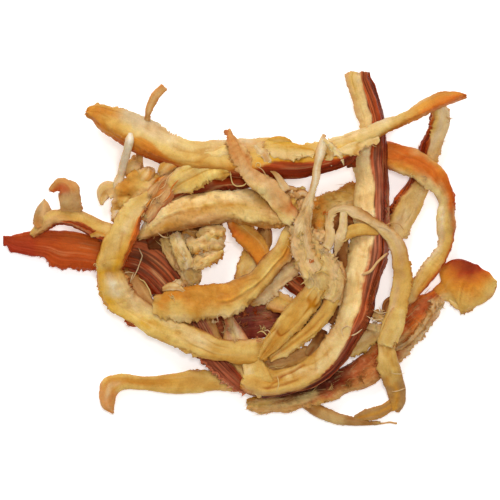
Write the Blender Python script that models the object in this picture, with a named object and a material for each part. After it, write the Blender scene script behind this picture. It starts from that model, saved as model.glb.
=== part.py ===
"""A loose heap of torn dried squid strips, lying tangled on a flat surface.

Each strip is a loft: a rounded rectangular section carried along a smooth route. The strips and a few
crumbly lumps overlap where they cross and are fused to one solid, whose underside is cut flat where it
rests. The origin is on the resting plane, under the middle of the heap. +X is the heap's length.
"""

from collections import namedtuple

import bmesh
import bpy
import numpy as np
from mathutils import Matrix, Vector

MM = 0.001

# Driving dimensions, in millimetres
RING_SPACING = 4.3
FEWEST_RINGS = 4
NARROW_WIDTH = 3.0
NARROW_SIDES = 6
WIDE_SIDES = 8
SAMPLES_PER_SPAN = 24
CORNER_POWER = 3.2
THINNEST_SHARE = 0.35
LEAST_HALF_WIDTH = 0.22
LUMP_ROUGHNESS = 0.1
CUTTER_SIZE = 200.0
CUTTER_DEPTH = 20.0
SEED = 11

# A strip's stations are (x, y, z, width): the middle of the strip and its width as seen from above.
# thick is its thickness at its widest. roll, in degrees, lifts the left edge of a strip seen along its route.
Strip = namedtuple("Strip", "name thick roll stations")

# A lump is (x, y, z, radius), all in millimetres.

TOP_LAYER = [
    Strip("long_strip", 6.0, -35, [
        (-40.8, 34.3, 9.4, 2.4), (-38.2, 34.1, 9.4, 5.2), (-35.0, 32.5, 9.5, 7.2), (-31.3, 30.9, 9.6, 8.6),
        (-27.5, 28.8, 9.8, 9.2), (-23.8, 26.7, 10.0, 8.6), (-20.0, 24.9, 10.2, 7.9),
        (-15.0, 23.6, 10.5, 7.6), (-8.8, 23.1, 10.8, 8.4), (-1.3, 22.8, 11.0, 9.9),
        (6.3, 22.7, 11.0, 10.3), (12.5, 22.5, 11.0, 9.2), (18.8, 23.6, 11.0, 8.4), (23.0, 24.8, 11.0, 7.8),
        (26.5, 27.3, 11.2, 5.2), (30.0, 28.9, 11.5, 4.2), (33.8, 30.9, 11.2, 3.4), (37.5, 32.3, 10.6, 3.1),
        (42.5, 34.9, 10.2, 3.5), (47.5, 37.5, 10.0, 3.8), (50.5, 38.2, 9.8, 3.2), (53.8, 38.2, 9.6, 0.8)]),
    Strip("torn_ledge", 3.6, 0, [
        (-22.5, 14.5, 9.3, 5.5), (-19.5, 17.0, 10.3, 6.8), (-15.5, 19.0, 11.2, 7.0),
        (-11.3, 20.8, 11.8, 7.0), (-7.0, 21.8, 12.4, 7.4), (-4.3, 22.3, 12.6, 6.0)]),
    Strip("frayed_skin", 3.0, 0, [
        (-20.5, 17.0, 9.0, 4.5), (-22.5, 13.5, 8.8, 5.0), (-24.5, 10.5, 8.5, 4.6),
        (-26.5, 7.5, 8.2, 3.0)]),
    Strip("skin_band", 2.6, -20, [
        (-19.5, 12.5, 8.2, 2.0), (-15.0, 15.0, 8.8, 3.0), (-10.0, 16.4, 9.2, 3.8), (-3.8, 17.0, 9.4, 4.0),
        (0.5, 17.0, 9.4, 3.0)]),
    Strip("orange_flap", 2.4, 0, [
        (-5.3, 29.6, 13.6, 1.0), (-4.8, 27.3, 14.6, 2.8), (-3.5, 24.8, 15.2, 3.4), (-1.8, 22.0, 15.2, 3.6),
        (-0.4, 19.5, 14.6, 3.6), (1.6, 17.5, 13.8, 3.4), (4.0, 16.3, 13.2, 3.7), (5.9, 14.0, 12.9, 4.3),
        (7.3, 11.5, 12.5, 4.8), (9.0, 9.5, 12.0, 4.4), (11.0, 7.5, 11.5, 3.0)]),
    Strip("pale_string", 1.5, 0, [
        (3.0, 25.0, 14.6, 2.2), (4.0, 22.5, 14.3, 1.7), (5.3, 20.3, 13.7, 1.6), (7.0, 18.0, 13.0, 1.8),
        (8.8, 15.5, 11.8, 2.3)]),
    Strip("hanging_string", 1.8, 0, [
        (18.3, 28.6, 13.4, 0.8), (18.0, 26.0, 14.6, 2.4), (17.3, 23.3, 14.8, 2.2), (16.5, 20.5, 14.4, 1.9),
        (16.3, 17.5, 13.8, 2.0), (15.5, 14.5, 13.1, 1.7), (14.5, 11.8, 12.6, 2.5), (13.8, 8.8, 12.3, 2.9),
        (13.5, 5.5, 12.0, 3.4), (13.0, 2.0, 11.7, 4.4)]),
    Strip("torn_flap", 1.6, 0, [
        (18.6, 27.3, 14.2, 1.6), (20.2, 25.2, 14.4, 2.6), (21.6, 22.8, 13.6, 1.8)]),
    Strip("flesh_sheet", 2.8, 0, [
        (11.5, 6.0, 11.2, 3.6), (13.0, 2.6, 11.0, 6.0), (15.0, -1.5, 10.6, 8.4), (17.2, -5.0, 10.0, 9.0),
        (18.2, -8.3, 9.2, 8.4), (18.6, -11.6, 8.2, 7.6)]),
    Strip("sheet_edge", 2.2, 0, [
        (22.0, -3.0, 7.4, 2.4), (22.2, -6.3, 7.4, 3.4), (21.8, -10.0, 7.4, 3.4), (21.0, -13.5, 7.2, 3.0)]),
    Strip("split_strip_outer", 4.2, 0, [
        (17.0, -9.0, 8.8, 5.0), (14.3, -13.0, 8.2, 5.9), (11.0, -17.0, 7.6, 5.9), (8.0, -20.5, 7.2, 5.4),
        (5.3, -24.0, 6.8, 4.2), (2.7, -27.2, 6.2, 1.6)]),
    Strip("split_strip_inner", 3.6, 0, [
        (20.8, -11.8, 7.8, 3.6), (18.9, -15.6, 7.2, 3.6), (15.9, -19.1, 6.9, 3.6), (12.5, -21.9, 6.6, 3.4),
        (8.8, -24.7, 6.2, 2.9), (5.0, -27.2, 5.8, 1.6)]),
    Strip("webbed_strip", 2.8, 0, [
        (20.0, 7.8, 11.0, 1.6), (20.6, 9.6, 11.2, 1.8), (23.8, 10.4, 11.3, 1.7), (27.0, 9.1, 11.3, 2.8),
        (30.0, 7.4, 11.3, 2.7), (32.8, 5.5, 11.0, 2.7), (35.3, 3.2, 10.4, 3.3), (37.0, 0.2, 9.8, 4.0),
        (37.8, -4.0, 8.8, 4.4), (38.0, -8.0, 7.8, 4.6), (37.1, -13.5, 7.2, 4.8), (35.4, -19.0, 7.0, 4.7),
        (34.0, -23.5, 6.6, 4.2), (34.3, -27.8, 6.0, 5.2), (35.4, -31.2, 4.4, 5.2), (36.7, -35.0, 2.6, 4.6),
        (36.9, -37.8, 1.7, 4.0), (36.2, -40.2, 1.3, 2.8)]),
    Strip("web_left_leg", 1.8, 0, [
        (20.0, 9.0, 11.0, 2.2), (19.5, 6.0, 10.9, 2.1), (20.0, 3.0, 10.6, 2.8), (18.8, 0.5, 10.4, 2.6)]),
    Strip("web_right_leg", 1.8, 0, [
        (23.5, 9.4, 11.1, 1.8), (23.2, 5.6, 11.0, 2.2), (22.3, 2.6, 10.6, 2.6), (21.6, 0.2, 9.8, 1.3),
        (21.3, -1.5, 9.2, 0.5)]),
    Strip("ochre_bridge", 2.2, 0, [
        (22.5, 2.8, 10.2, 1.8), (25.5, 4.8, 10.2, 3.2), (28.5, 5.2, 10.2, 3.0), (32.2, 4.5, 10.0, 2.0)]),
]

MIDDLE_LAYER = [
    Strip("yellow_loop", 4.8, 0, [
        (-23.8, 15.0, 9.2, 1.6), (-26.0, 12.4, 9.4, 4.4), (-28.8, 9.0, 9.4, 6.2), (-31.0, 5.5, 9.2, 6.9),
        (-32.8, 2.0, 8.8, 7.2), (-34.5, -1.5, 8.2, 7.0), (-35.3, -4.8, 7.2, 6.2), (-34.2, -8.3, 6.0, 7.6),
        (-32.8, -11.8, 5.0, 8.0), (-29.4, -15.1, 4.4, 7.5), (-25.4, -17.6, 4.4, 7.0),
        (-21.2, -19.6, 5.2, 6.8), (-16.9, -21.3, 6.2, 6.8), (-12.4, -23.3, 6.8, 6.3),
        (-8.0, -25.0, 6.8, 5.3), (-3.0, -25.5, 6.2, 5.6), (0.5, -25.4, 5.4, 5.8), (2.8, -25.8, 5.0, 3.4)]),
    Strip("pale_arc", 4.6, -25, [
        (-27.8, 3.0, 6.2, 1.2), (-24.8, 5.3, 7.2, 4.8), (-21.3, 8.0, 8.0, 7.2), (-17.5, 9.5, 8.4, 9.2),
        (-13.3, 10.3, 8.6, 9.4), (-8.8, 11.0, 8.6, 9.0), (-4.3, 11.4, 8.8, 8.8), (0.0, 10.6, 9.0, 9.4),
        (4.0, 10.0, 9.0, 9.2), (7.8, 9.0, 9.0, 7.2), (10.8, 7.8, 9.0, 3.6)]),
    Strip("inner_arc", 4.6, 0, [
        (10.3, 6.5, 9.0, 3.0), (8.5, 3.3, 8.8, 5.0), (7.0, 0.0, 8.6, 6.4), (4.4, -3.6, 8.4, 6.9),
        (1.5, -7.1, 8.2, 7.1), (-1.8, -10.2, 8.0, 7.4), (-5.5, -12.2, 7.8, 7.8), (-10.0, -12.8, 7.6, 8.2),
        (-14.3, -13.3, 7.4, 8.8), (-18.3, -13.5, 7.0, 8.0), (-21.8, -13.6, 6.6, 6.2),
        (-24.0, -12.8, 6.2, 2.8)]),
    Strip("skin_edged_strip", 5.6, 30, [
        (27.3, 44.2, 6.4, 5.7), (27.3, 42.4, 6.5, 6.2), (28.2, 39.6, 6.6, 6.8), (29.3, 36.3, 6.8, 7.0),
        (30.5, 32.0, 6.8, 6.6), (30.6, 27.0, 6.6, 7.4), (30.0, 22.5, 6.5, 8.9), (30.5, 17.5, 6.5, 8.2),
        (30.3, 12.5, 6.5, 8.6), (30.1, 5.0, 6.5, 9.2), (29.3, -2.0, 6.5, 10.0), (28.3, -6.3, 6.5, 9.2),
        (27.4, -10.5, 6.4, 8.6), (26.6, -14.5, 6.3, 8.5), (25.0, -18.5, 6.2, 8.0), (22.8, -22.8, 6.0, 7.6),
        (20.0, -26.5, 5.8, 7.3), (16.6, -29.9, 5.6, 6.8), (12.6, -31.9, 5.3, 6.4), (8.6, -33.0, 5.0, 6.4),
        (4.5, -33.3, 4.6, 7.0), (1.0, -32.0, 4.2, 8.8), (-1.2, -31.4, 4.0, 7.2)]),
    Strip("orange_arc", 3.8, 0, [
        (24.5, 22.4, 7.4, 4.0), (29.5, 23.3, 4.6, 6.0), (33.8, 23.9, 4.8, 6.8), (37.5, 22.8, 5.6, 6.9),
        (41.3, 21.3, 6.2, 6.9), (44.9, 19.0, 6.2, 6.9), (47.6, 16.0, 5.8, 5.2), (49.1, 12.8, 5.2, 3.9),
        (49.2, 9.0, 4.6, 4.2), (49.0, 5.5, 4.4, 4.7), (49.2, 2.6, 4.2, 3.8), (48.2, -0.5, 4.2, 3.6),
        (45.8, -3.8, 4.2, 4.2), (43.2, -7.2, 4.4, 4.2), (40.9, -10.3, 4.8, 3.6), (39.0, -13.0, 5.0, 3.0)]),
    Strip("leaning_strip", 4.0, -25, [
        (46.9, 35.9, 8.6, 3.4), (47.6, 33.2, 7.0, 4.9), (47.0, 30.0, 5.2, 4.9), (45.7, 26.8, 4.0, 5.3),
        (44.7, 24.0, 3.2, 5.5), (43.6, 20.5, 2.6, 5.8), (42.2, 16.0, 1.9, 6.0), (39.2, 10.9, 1.8, 7.0),
        (37.4, 7.2, 2.4, 7.0), (35.8, 4.0, 4.0, 5.8), (34.5, 2.0, 5.6, 3.4)]),
    Strip("arched_strip", 3.2, -30, [
        (-54.5, 3.8, 2.8, 1.8), (-52.0, 6.0, 4.0, 3.2), (-49.3, 8.0, 5.6, 3.9), (-46.3, 8.3, 6.2, 4.1),
        (-43.0, 7.6, 6.2, 4.5), (-40.0, 6.3, 5.8, 4.9), (-37.0, 4.8, 5.4, 4.9), (-34.0, 3.5, 5.6, 4.7),
        (-31.5, 2.3, 6.4, 4.0)]),
    Strip("upright_curl", 2.4, 0, [
        (-44.8, 8.4, 6.4, 5.6), (-44.8, 11.0, 8.6, 5.6), (-44.9, 13.0, 10.6, 5.5),
        (-45.6, 15.2, 12.2, 5.0), (-47.0, 16.2, 12.6, 3.6), (-48.4, 15.7, 12.2, 2.6),
        (-49.9, 14.8, 11.6, 0.8)]),
    Strip("end_lobe", 2.6, 0, [
        (-52.2, 5.6, 4.2, 3.4), (-52.5, 7.8, 4.4, 3.8), (-52.0, 9.8, 4.6, 3.2), (-51.5, 11.8, 4.8, 1.7),
        (-51.5, 12.6, 4.8, 0.6)]),
    Strip("top_filament", 1.5, 0, [
        (-26.0, 29.8, 10.4, 1.8), (-26.0, 31.8, 11.2, 1.7), (-25.7, 34.3, 12.2, 1.6),
        (-25.0, 36.5, 13.0, 1.9), (-23.8, 38.7, 13.5, 2.2), (-21.7, 40.8, 13.8, 2.2)]),
    Strip("hanging_cord", 1.8, 0, [
        (-30.0, 28.9, 12.6, 1.2), (-30.3, 26.8, 11.6, 2.1), (-31.3, 24.5, 9.6, 2.2),
        (-32.0, 21.8, 7.4, 2.2), (-32.5, 19.0, 5.6, 2.2), (-33.0, 16.3, 4.6, 2.6), (-33.0, 13.5, 4.2, 2.5),
        (-33.2, 10.5, 4.0, 2.6), (-33.6, 7.8, 4.2, 2.2)]),
    Strip("cord_flag", 1.8, 0, [
        (-33.4, 15.5, 4.6, 3.4), (-35.6, 15.4, 4.4, 3.9), (-37.2, 14.6, 4.2, 3.2), (-37.4, 12.8, 4.0, 1.6),
        (-37.3, 11.4, 3.8, 0.7)]),
    Strip("lump_neck", 2.0, 0, [
        (-27.4, 25.6, 8.6, 2.2), (-27.7, 22.6, 6.6, 2.0), (-27.8, 19.8, 5.0, 2.4)]),
    Strip("orange_under_strip", 3.4, 0, [
        (-4.8, 9.8, 7.6, 2.8), (-3.3, 6.3, 6.6, 4.0), (-1.2, 3.8, 6.0, 5.1), (0.9, 1.8, 5.8, 5.6),
        (2.5, -0.6, 5.8, 5.2), (3.8, -3.2, 6.0, 4.0)]),
]

FLOOR_LAYER = [
    Strip("tail_strip", 3.6, 0, [
        (-34.3, -41.0, 1.3, 0.8), (-35.4, -38.8, 1.4, 3.4), (-35.7, -36.3, 1.5, 4.4),
        (-34.6, -34.0, 1.5, 4.8), (-31.3, -33.0, 1.5, 3.6), (-26.3, -33.4, 1.5, 3.6),
        (-20.0, -33.5, 1.5, 5.0), (-13.8, -33.0, 1.5, 5.7), (-8.8, -32.8, 1.5, 5.0),
        (-1.3, -34.0, 1.4, 3.2)]),
    Strip("wide_skin_strip", 3.4, 0, [
        (-61.8, 3.0, 1.5, 0.8), (-59.0, 2.0, 1.5, 3.8), (-55.0, 1.7, 1.5, 6.0), (-50.5, 1.3, 1.5, 7.2),
        (-47.0, 0.3, 1.5, 9.2), (-42.5, -0.1, 1.5, 8.8), (-38.0, -0.8, 1.5, 8.8), (-32.5, -0.9, 1.5, 9.8),
        (-27.5, -1.8, 1.6, 10.4), (-23.0, -4.9, 1.7, 10.4), (-18.8, -10.0, 1.9, 9.6),
        (-14.6, -17.0, 2.4, 8.8), (-10.6, -23.8, 3.0, 8.0), (-6.2, -28.7, 3.6, 7.2),
        (-2.6, -32.4, 3.8, 6.2), (-0.4, -34.8, 3.6, 2.4)]),
    Strip("brown_under_strip", 3.6, 0, [
        (3.5, 5.4, 4.4, 3.4), (3.1, 2.0, 3.2, 5.0), (1.1, -1.6, 2.6, 6.0), (-0.7, -4.8, 2.8, 5.2),
        (-1.8, -8.0, 4.4, 3.8)]),
    Strip("rough_strip", 4.0, 0, [
        (29.5, 15.0, 3.0, 4.6), (26.5, 14.0, 3.2, 5.6), (23.3, 12.8, 3.6, 5.6), (20.0, 11.6, 4.2, 5.4),
        (17.0, 9.8, 5.2, 6.0), (15.5, 7.0, 6.6, 6.6), (15.6, 3.6, 8.4, 6.0)]),
    Strip("long_floor_strip", 4.2, 0, [
        (-0.5, -38.9, 1.7, 3.2), (3.0, -38.5, 1.7, 4.7), (7.5, -38.1, 1.8, 5.0), (12.5, -37.0, 1.8, 5.6),
        (17.5, -35.2, 1.8, 6.2), (22.5, -33.3, 1.8, 6.4), (27.0, -31.5, 1.8, 7.0), (31.2, -28.8, 1.8, 7.0),
        (34.8, -25.6, 1.8, 7.0), (38.3, -22.1, 1.8, 7.0), (41.5, -18.2, 1.8, 7.4), (44.4, -14.4, 1.8, 7.2),
        (47.2, -11.8, 1.8, 4.2)]),
    Strip("flared_end", 3.4, 0, [
        (47.4, -12.0, 1.6, 3.4), (48.8, -10.2, 1.6, 7.4), (50.0, -9.2, 1.7, 12.4), (53.0, -9.1, 1.8, 13.6),
        (55.6, -8.9, 2.0, 11.6), (58.0, -8.9, 2.2, 9.2), (60.3, -8.6, 2.4, 6.2), (61.8, -8.4, 2.4, 1.6)]),
    Strip("dark_under_strip", 2.4, 0, [
        (-25.6, 1.8, 3.4, 3.4), (-21.0, 3.4, 3.6, 5.0), (-16.5, 5.4, 4.0, 3.8), (-11.5, 6.0, 4.6, 3.4),
        (-7.0, 6.4, 5.4, 2.4)]),
    Strip("loop_inner_wall", 2.4, 0, [
        (-31.6, -5.2, 4.0, 2.6), (-29.2, -8.5, 3.4, 4.4), (-26.8, -12.0, 3.6, 4.2),
        (-24.0, -14.8, 4.2, 2.6)]),
    Strip("shadow_strip", 2.6, 0, [
        (23.2, 2.4, 5.2, 3.4), (22.9, -3.0, 4.8, 4.4), (22.6, -8.0, 4.6, 4.6), (22.2, -12.0, 4.4, 3.8),
        (20.9, -15.8, 4.6, 2.8), (19.6, -18.0, 5.0, 2.2)]),
    Strip("split_backing", 2.2, 0, [
        (19.0, -12.2, 6.0, 3.0), (15.6, -17.0, 5.6, 3.4), (11.6, -20.8, 5.2, 3.0)]),
    Strip("rough_lower", 3.2, 0, [
        (18.6, 9.4, 5.6, 5.2), (22.3, 7.0, 5.6, 6.0), (26.0, 5.0, 5.2, 5.0)]),
    Strip("folded_tail", 2.2, 0, [
        (36.0, -38.4, 1.4, 2.8), (33.3, -40.3, 0.9, 3.1), (29.5, -41.4, 0.9, 2.8),
        (26.3, -42.3, 0.9, 1.6)]),
    Strip("bottom_strand", 2.2, 0, [
        (13.5, -38.0, 1.0, 2.8), (17.0, -40.3, 0.9, 3.1), (21.0, -41.9, 0.9, 2.9), (25.0, -42.8, 0.9, 2.4),
        (29.0, -43.4, 0.8, 1.4), (32.5, -43.4, 0.6, 0.6)]),
    Strip("side_strip", 2.8, 0, [
        (24.6, -25.6, 4.0, 2.8), (28.0, -23.4, 2.2, 3.6), (30.8, -21.7, 2.8, 4.2),
        (33.8, -20.0, 5.2, 4.2)]),
    Strip("side_fray_upper", 1.2, 0, [
        (29.8, -14.8, 5.4, 2.0), (32.2, -16.8, 5.2, 2.4), (35.0, -18.0, 5.6, 2.0)]),
    Strip("side_fray_lower", 1.2, 0, [
        (28.2, -18.6, 5.2, 1.4), (31.3, -19.6, 5.0, 1.9), (34.2, -20.4, 5.4, 1.6)]),
    Strip("dark_curl", 1.4, 0, [
        (36.0, -12.0, 5.8, 1.4), (34.3, -13.0, 5.4, 1.8), (33.8, -15.0, 5.2, 1.7),
        (35.4, -16.6, 5.6, 1.6)]),
    Strip("maroon_strip", 2.6, 0, [
        (-11.3, -20.0, 1.2, 6.0), (-6.3, -18.8, 1.2, 9.0), (-1.3, -17.6, 1.2, 10.0),
        (3.8, -17.0, 1.2, 10.0), (8.3, -15.8, 1.2, 7.2), (10.8, -13.6, 1.2, 4.0)]),
    Strip("pale_ribbon", 1.6, 0, [
        (-6.2, -14.6, 3.2, 3.0), (-4.3, -18.3, 3.2, 3.6), (-2.4, -20.8, 3.4, 5.4),
        (1.0, -22.6, 4.2, 6.0)]),
    Strip("tan_strip", 2.8, 0, [
        (13.2, -1.8, 8.8, 2.8), (9.5, -5.3, 6.8, 3.8), (6.6, -8.2, 5.0, 4.6), (4.5, -11.2, 3.2, 6.2),
        (5.4, -13.9, 2.6, 5.0), (9.0, -15.5, 2.4, 2.6)]),
    Strip("ribbed_scrap", 2.6, 0, [
        (7.6, -5.2, 4.8, 3.6), (10.6, -7.7, 3.0, 4.6), (13.1, -9.9, 3.4, 4.4), (15.8, -12.4, 6.6, 3.6)]),
    Strip("shadowed_slab", 2.4, 0, [
        (2.6, -28.8, 3.4, 4.0), (7.0, -28.2, 2.8, 5.2), (10.8, -27.3, 2.8, 5.0), (14.6, -25.8, 3.0, 3.4)]),
    Strip("shadowed_scrap", 2.4, 0, [
        (14.6, -26.4, 2.8, 2.8), (16.5, -23.6, 3.2, 2.8), (18.2, -20.6, 5.2, 3.2)]),
]

CRUMBLY_LUMPS = [
    (-29.3, 20.2, 3.6, 2.2), (-29.0, 22.4, 4.6, 1.2), (-29.3, 16.4, 2.8, 2.4), (-25.8, 18.3, 4.0, 2.6),
    (-27.0, 15.6, 4.4, 3.0), (-23.4, 16.8, 6.2, 2.6), (-31.0, 13.2, 3.4, 2.6), (-32.4, 11.0, 2.4, 2.2),
    (-33.4, 8.2, 2.2, 1.8), (-28.6, 11.6, 4.8, 3.0), (-20.4, 20.0, 8.0, 2.8), (-21.0, 16.4, 7.6, 2.8),
    (-17.1, 1.6, 4.2, 3.6), (-16.6, -2.2, 3.6, 3.3), (-12.6, 1.6, 4.6, 2.6), (-9.6, 2.9, 4.8, 3.0),
    (-8.2, 4.6, 5.4, 2.0), (-9.2, -0.2, 4.2, 2.7), (-10.7, -1.8, 3.2, 2.3), (-13.4, -1.5, 3.4, 2.5),
    (-14.4, -4.4, 2.4, 2.5), (-14.2, -6.9, 2.0, 2.3), (-16.4, -8.2, 2.2, 2.2), (9.6, 14.0, 9.6, 2.4),
    (12.0, 13.6, 9.6, 2.3), (10.2, 11.0, 10.4, 2.8), (13.2, 11.2, 9.0, 2.4), (17.0, 3.4, 10.8, 2.0),
    (-18.2, -9.2, 3.6, 2.2),
]

FLESH = (0.62, 0.40, 0.14)
FLESH_ROUGHNESS = 0.55


def smooth_route(stations, rings):
    """Rows of (x, y, z, width) at even distances along a Catmull-Rom curve through the stations."""
    knots = np.array(stations, dtype=float)
    padded = np.vstack([2 * knots[0] - knots[1], knots, 2 * knots[-1] - knots[-2]])
    steps = np.linspace(0.0, 1.0, SAMPLES_PER_SPAN, endpoint=False)[:, None]
    pieces = []
    for first in range(len(knots) - 1):
        before, start, end, after = padded[first:first + 4]
        pieces.append(0.5 * (2 * start + (end - before) * steps
                             + (2 * before - 5 * start + 4 * end - after) * steps ** 2
                             + (3 * start - before - 3 * end + after) * steps ** 3))
    curve = np.vstack(pieces + [knots[-1:]])
    travelled = np.concatenate([[0.0], np.cumsum(np.linalg.norm(np.diff(curve[:, :3], axis=0), axis=1))])
    places = np.linspace(0.0, travelled[-1], rings)
    return np.column_stack([np.interp(places, travelled, curve[:, k]) for k in range(4)])


def route_length(stations):
    """Length of the straight runs between the stations."""
    knots = np.array(stations, dtype=float)[:, :3]
    return float(np.linalg.norm(np.diff(knots, axis=0), axis=1).sum())


def section_outline(sides):
    """Unit points round a rounded rectangle, a superellipse of CORNER_POWER."""
    angles = (np.arange(sides) + 0.5) * 2 * np.pi / sides
    across = np.sign(np.cos(angles)) * np.abs(np.cos(angles)) ** (2 / CORNER_POWER)
    up = np.sign(np.sin(angles)) * np.abs(np.sin(angles)) ** (2 / CORNER_POWER)
    return across, up


def strip_rings(strip):
    """Section points in millimetres, as an array of rings x sides x 3, along the strip's route."""
    spans = round(route_length(strip.stations) / RING_SPACING)
    rings = max(FEWEST_RINGS, len(strip.stations), spans + 1)
    route = smooth_route(strip.stations, rings)
    centre = route[:, :3]
    width = np.maximum(route[:, 3], 2 * LEAST_HALF_WIDTH)
    along = np.gradient(centre, axis=0)
    along /= np.linalg.norm(along, axis=1, keepdims=True)
    left = np.column_stack([-along[:, 1], along[:, 0], np.zeros(rings)])
    left /= np.linalg.norm(left, axis=1, keepdims=True)
    upward = np.cross(along, left)
    share = np.clip(width / width.max(), THINNEST_SHARE, 1.0)
    half_thick = strip.thick / 2 * share
    turn = np.radians(strip.roll)
    sides = NARROW_SIDES if width.max() < NARROW_WIDTH else WIDE_SIDES
    across, up = section_outline(sides)
    half_width = np.maximum((width / 2 - half_thick * abs(np.sin(turn))) / np.cos(turn), LEAST_HALF_WIDTH)
    seen = (half_width[:, None] * across * np.cos(turn) - half_thick[:, None] * up * np.sin(turn)).max(axis=1)
    half_width *= width / 2 / seen
    half_thick *= width / 2 / seen
    rolled_left = left * np.cos(turn) + upward * np.sin(turn)
    rolled_up = upward * np.cos(turn) - left * np.sin(turn)
    return (centre[:, None, :]
            + rolled_left[:, None, :] * (half_width[:, None] * across[None, :])[:, :, None]
            + rolled_up[:, None, :] * (half_thick[:, None] * up[None, :])[:, :, None])


def closed_loft(name, rings):
    """A mesh object from rings of section points, closed with a fan at each end."""
    count, sides = rings.shape[:2]
    mesh = bmesh.new()
    verts = [[mesh.verts.new(Vector(point * MM)) for point in ring] for ring in rings]
    for i in range(count - 1):
        for k in range(sides):
            n = (k + 1) % sides
            mesh.faces.new((verts[i][k], verts[i + 1][k], verts[i + 1][n], verts[i][n]))
    for ring, points in ((verts[0], rings[0]), (verts[-1], rings[-1])):
        middle = mesh.verts.new(Vector(points.mean(axis=0) * MM))
        for k in range(sides):
            mesh.faces.new((ring[k], ring[(k + 1) % sides], middle))
    bmesh.ops.recalc_face_normals(mesh, faces=mesh.faces)
    bmesh.ops.triangulate(mesh, faces=mesh.faces)
    return mesh_object(name, mesh)


def mesh_object(name, mesh):
    """Puts a bmesh into a new object and frees it."""
    data = bpy.data.meshes.new(name)
    mesh.to_mesh(data)
    mesh.free()
    return bpy.data.objects.new(name, data)


def crumbly_lump(name, x, y, z, radius, draw):
    """An icosphere whose corners are moved in and out at random, a crumb of torn flesh."""
    mesh = bmesh.new()
    bmesh.ops.create_icosphere(mesh, subdivisions=1, radius=radius * MM)
    for vert in mesh.verts:
        vert.co *= 1.0 + LUMP_ROUGHNESS * draw.uniform(-1.0, 1.0)
    bmesh.ops.transform(mesh, matrix=Matrix.Translation((x * MM, y * MM, z * MM)), verts=mesh.verts)
    return mesh_object(name, mesh)


def apply_modifiers(target):
    """Replaces the object's mesh by its evaluated one and clears its modifiers."""
    evaluated = target.evaluated_get(bpy.context.evaluated_depsgraph_get())
    finished = bpy.data.meshes.new_from_object(evaluated)
    target.modifiers.clear()
    target.data = finished


def fuse(base, collection):
    """Joins every object in the collection to the base by one Boolean union, then removes them."""
    union = base.modifiers.new("fuse strips", "BOOLEAN")
    union.operation = "UNION"
    union.operand_type = "COLLECTION"
    union.collection = collection
    union.solver = "MANIFOLD"
    apply_modifiers(base)
    for piece in list(collection.objects):
        bpy.data.objects.remove(piece, do_unlink=True)


def cut_flat_below(target, collection):
    """Cuts away all that reaches below the resting plane."""
    mesh = bmesh.new()
    bmesh.ops.create_cube(mesh, size=1.0)
    bmesh.ops.scale(mesh, vec=(CUTTER_SIZE * MM, CUTTER_SIZE * MM, CUTTER_DEPTH * MM), verts=mesh.verts)
    bmesh.ops.translate(mesh, vec=(0.0, 0.0, -CUTTER_DEPTH / 2 * MM), verts=mesh.verts)
    cutter = mesh_object("resting_plane_cutter", mesh)
    cutter.hide_render = True
    cutter.display_type = "WIRE"
    collection.objects.link(cutter)
    cut = target.modifiers.new("cut flat", "BOOLEAN")
    cut.operation = "DIFFERENCE"
    cut.object = cutter
    cut.solver = "MANIFOLD"
    apply_modifiers(target)
    bpy.data.objects.remove(cutter, do_unlink=True)


def centre_over_origin(target):
    """Moves the mesh sideways until the middle of its box is over the origin."""
    corners = np.array([vert.co[:] for vert in target.data.vertices])
    middle = (corners.min(axis=0) + corners.max(axis=0)) / 2
    target.data.transform(Matrix.Translation((-middle[0], -middle[1], 0.0)))


def dried_flesh():
    """Toasted yellow flesh with a waxy surface."""
    material = bpy.data.materials.new("dried_flesh")
    material.use_nodes = True
    shader = material.node_tree.nodes["Principled BSDF"]
    shader.inputs["Base Color"].default_value = (*FLESH, 1.0)
    shader.inputs["Roughness"].default_value = FLESH_ROUGHNESS
    shader.inputs["Metallic"].default_value = 0.0
    return material


def new_collection(name):
    """A collection linked to the scene."""
    collection = bpy.data.collections.new(name)
    bpy.context.scene.collection.children.link(collection)
    return collection


def main():
    for old in list(bpy.data.objects):
        bpy.data.objects.remove(old, do_unlink=True)
    heap = new_collection("dried_squid")
    loose = new_collection("loose_strips")
    first, *others = [closed_loft(strip.name, strip_rings(strip))
                      for strip in MIDDLE_LAYER + TOP_LAYER + FLOOR_LAYER]
    draw = np.random.default_rng(SEED)
    for number, lump in enumerate(CRUMBLY_LUMPS):
        others.append(crumbly_lump(f"lump_{number}", *lump, draw))
    heap.objects.link(first)
    for piece in others:
        loose.objects.link(piece)
    first.name = "squid_strips"
    fuse(first, loose)
    cut_flat_below(first, loose)
    centre_over_origin(first)
    bpy.data.collections.remove(loose)
    first.data.materials.clear()
    first.data.materials.append(dried_flesh())


main()
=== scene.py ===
"""Dried squid: a loose heap of torn strips, each a worked-out surface carried along its own route.

Lengths are in millimetres until a surface goes into its mesh. A strip's stations are (x, y, z, width): the
middle of the strip and its width as seen from above. Looks are keyed to the number of a station.
"""

from collections import namedtuple
from dataclasses import dataclass, field
from itertools import product

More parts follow.
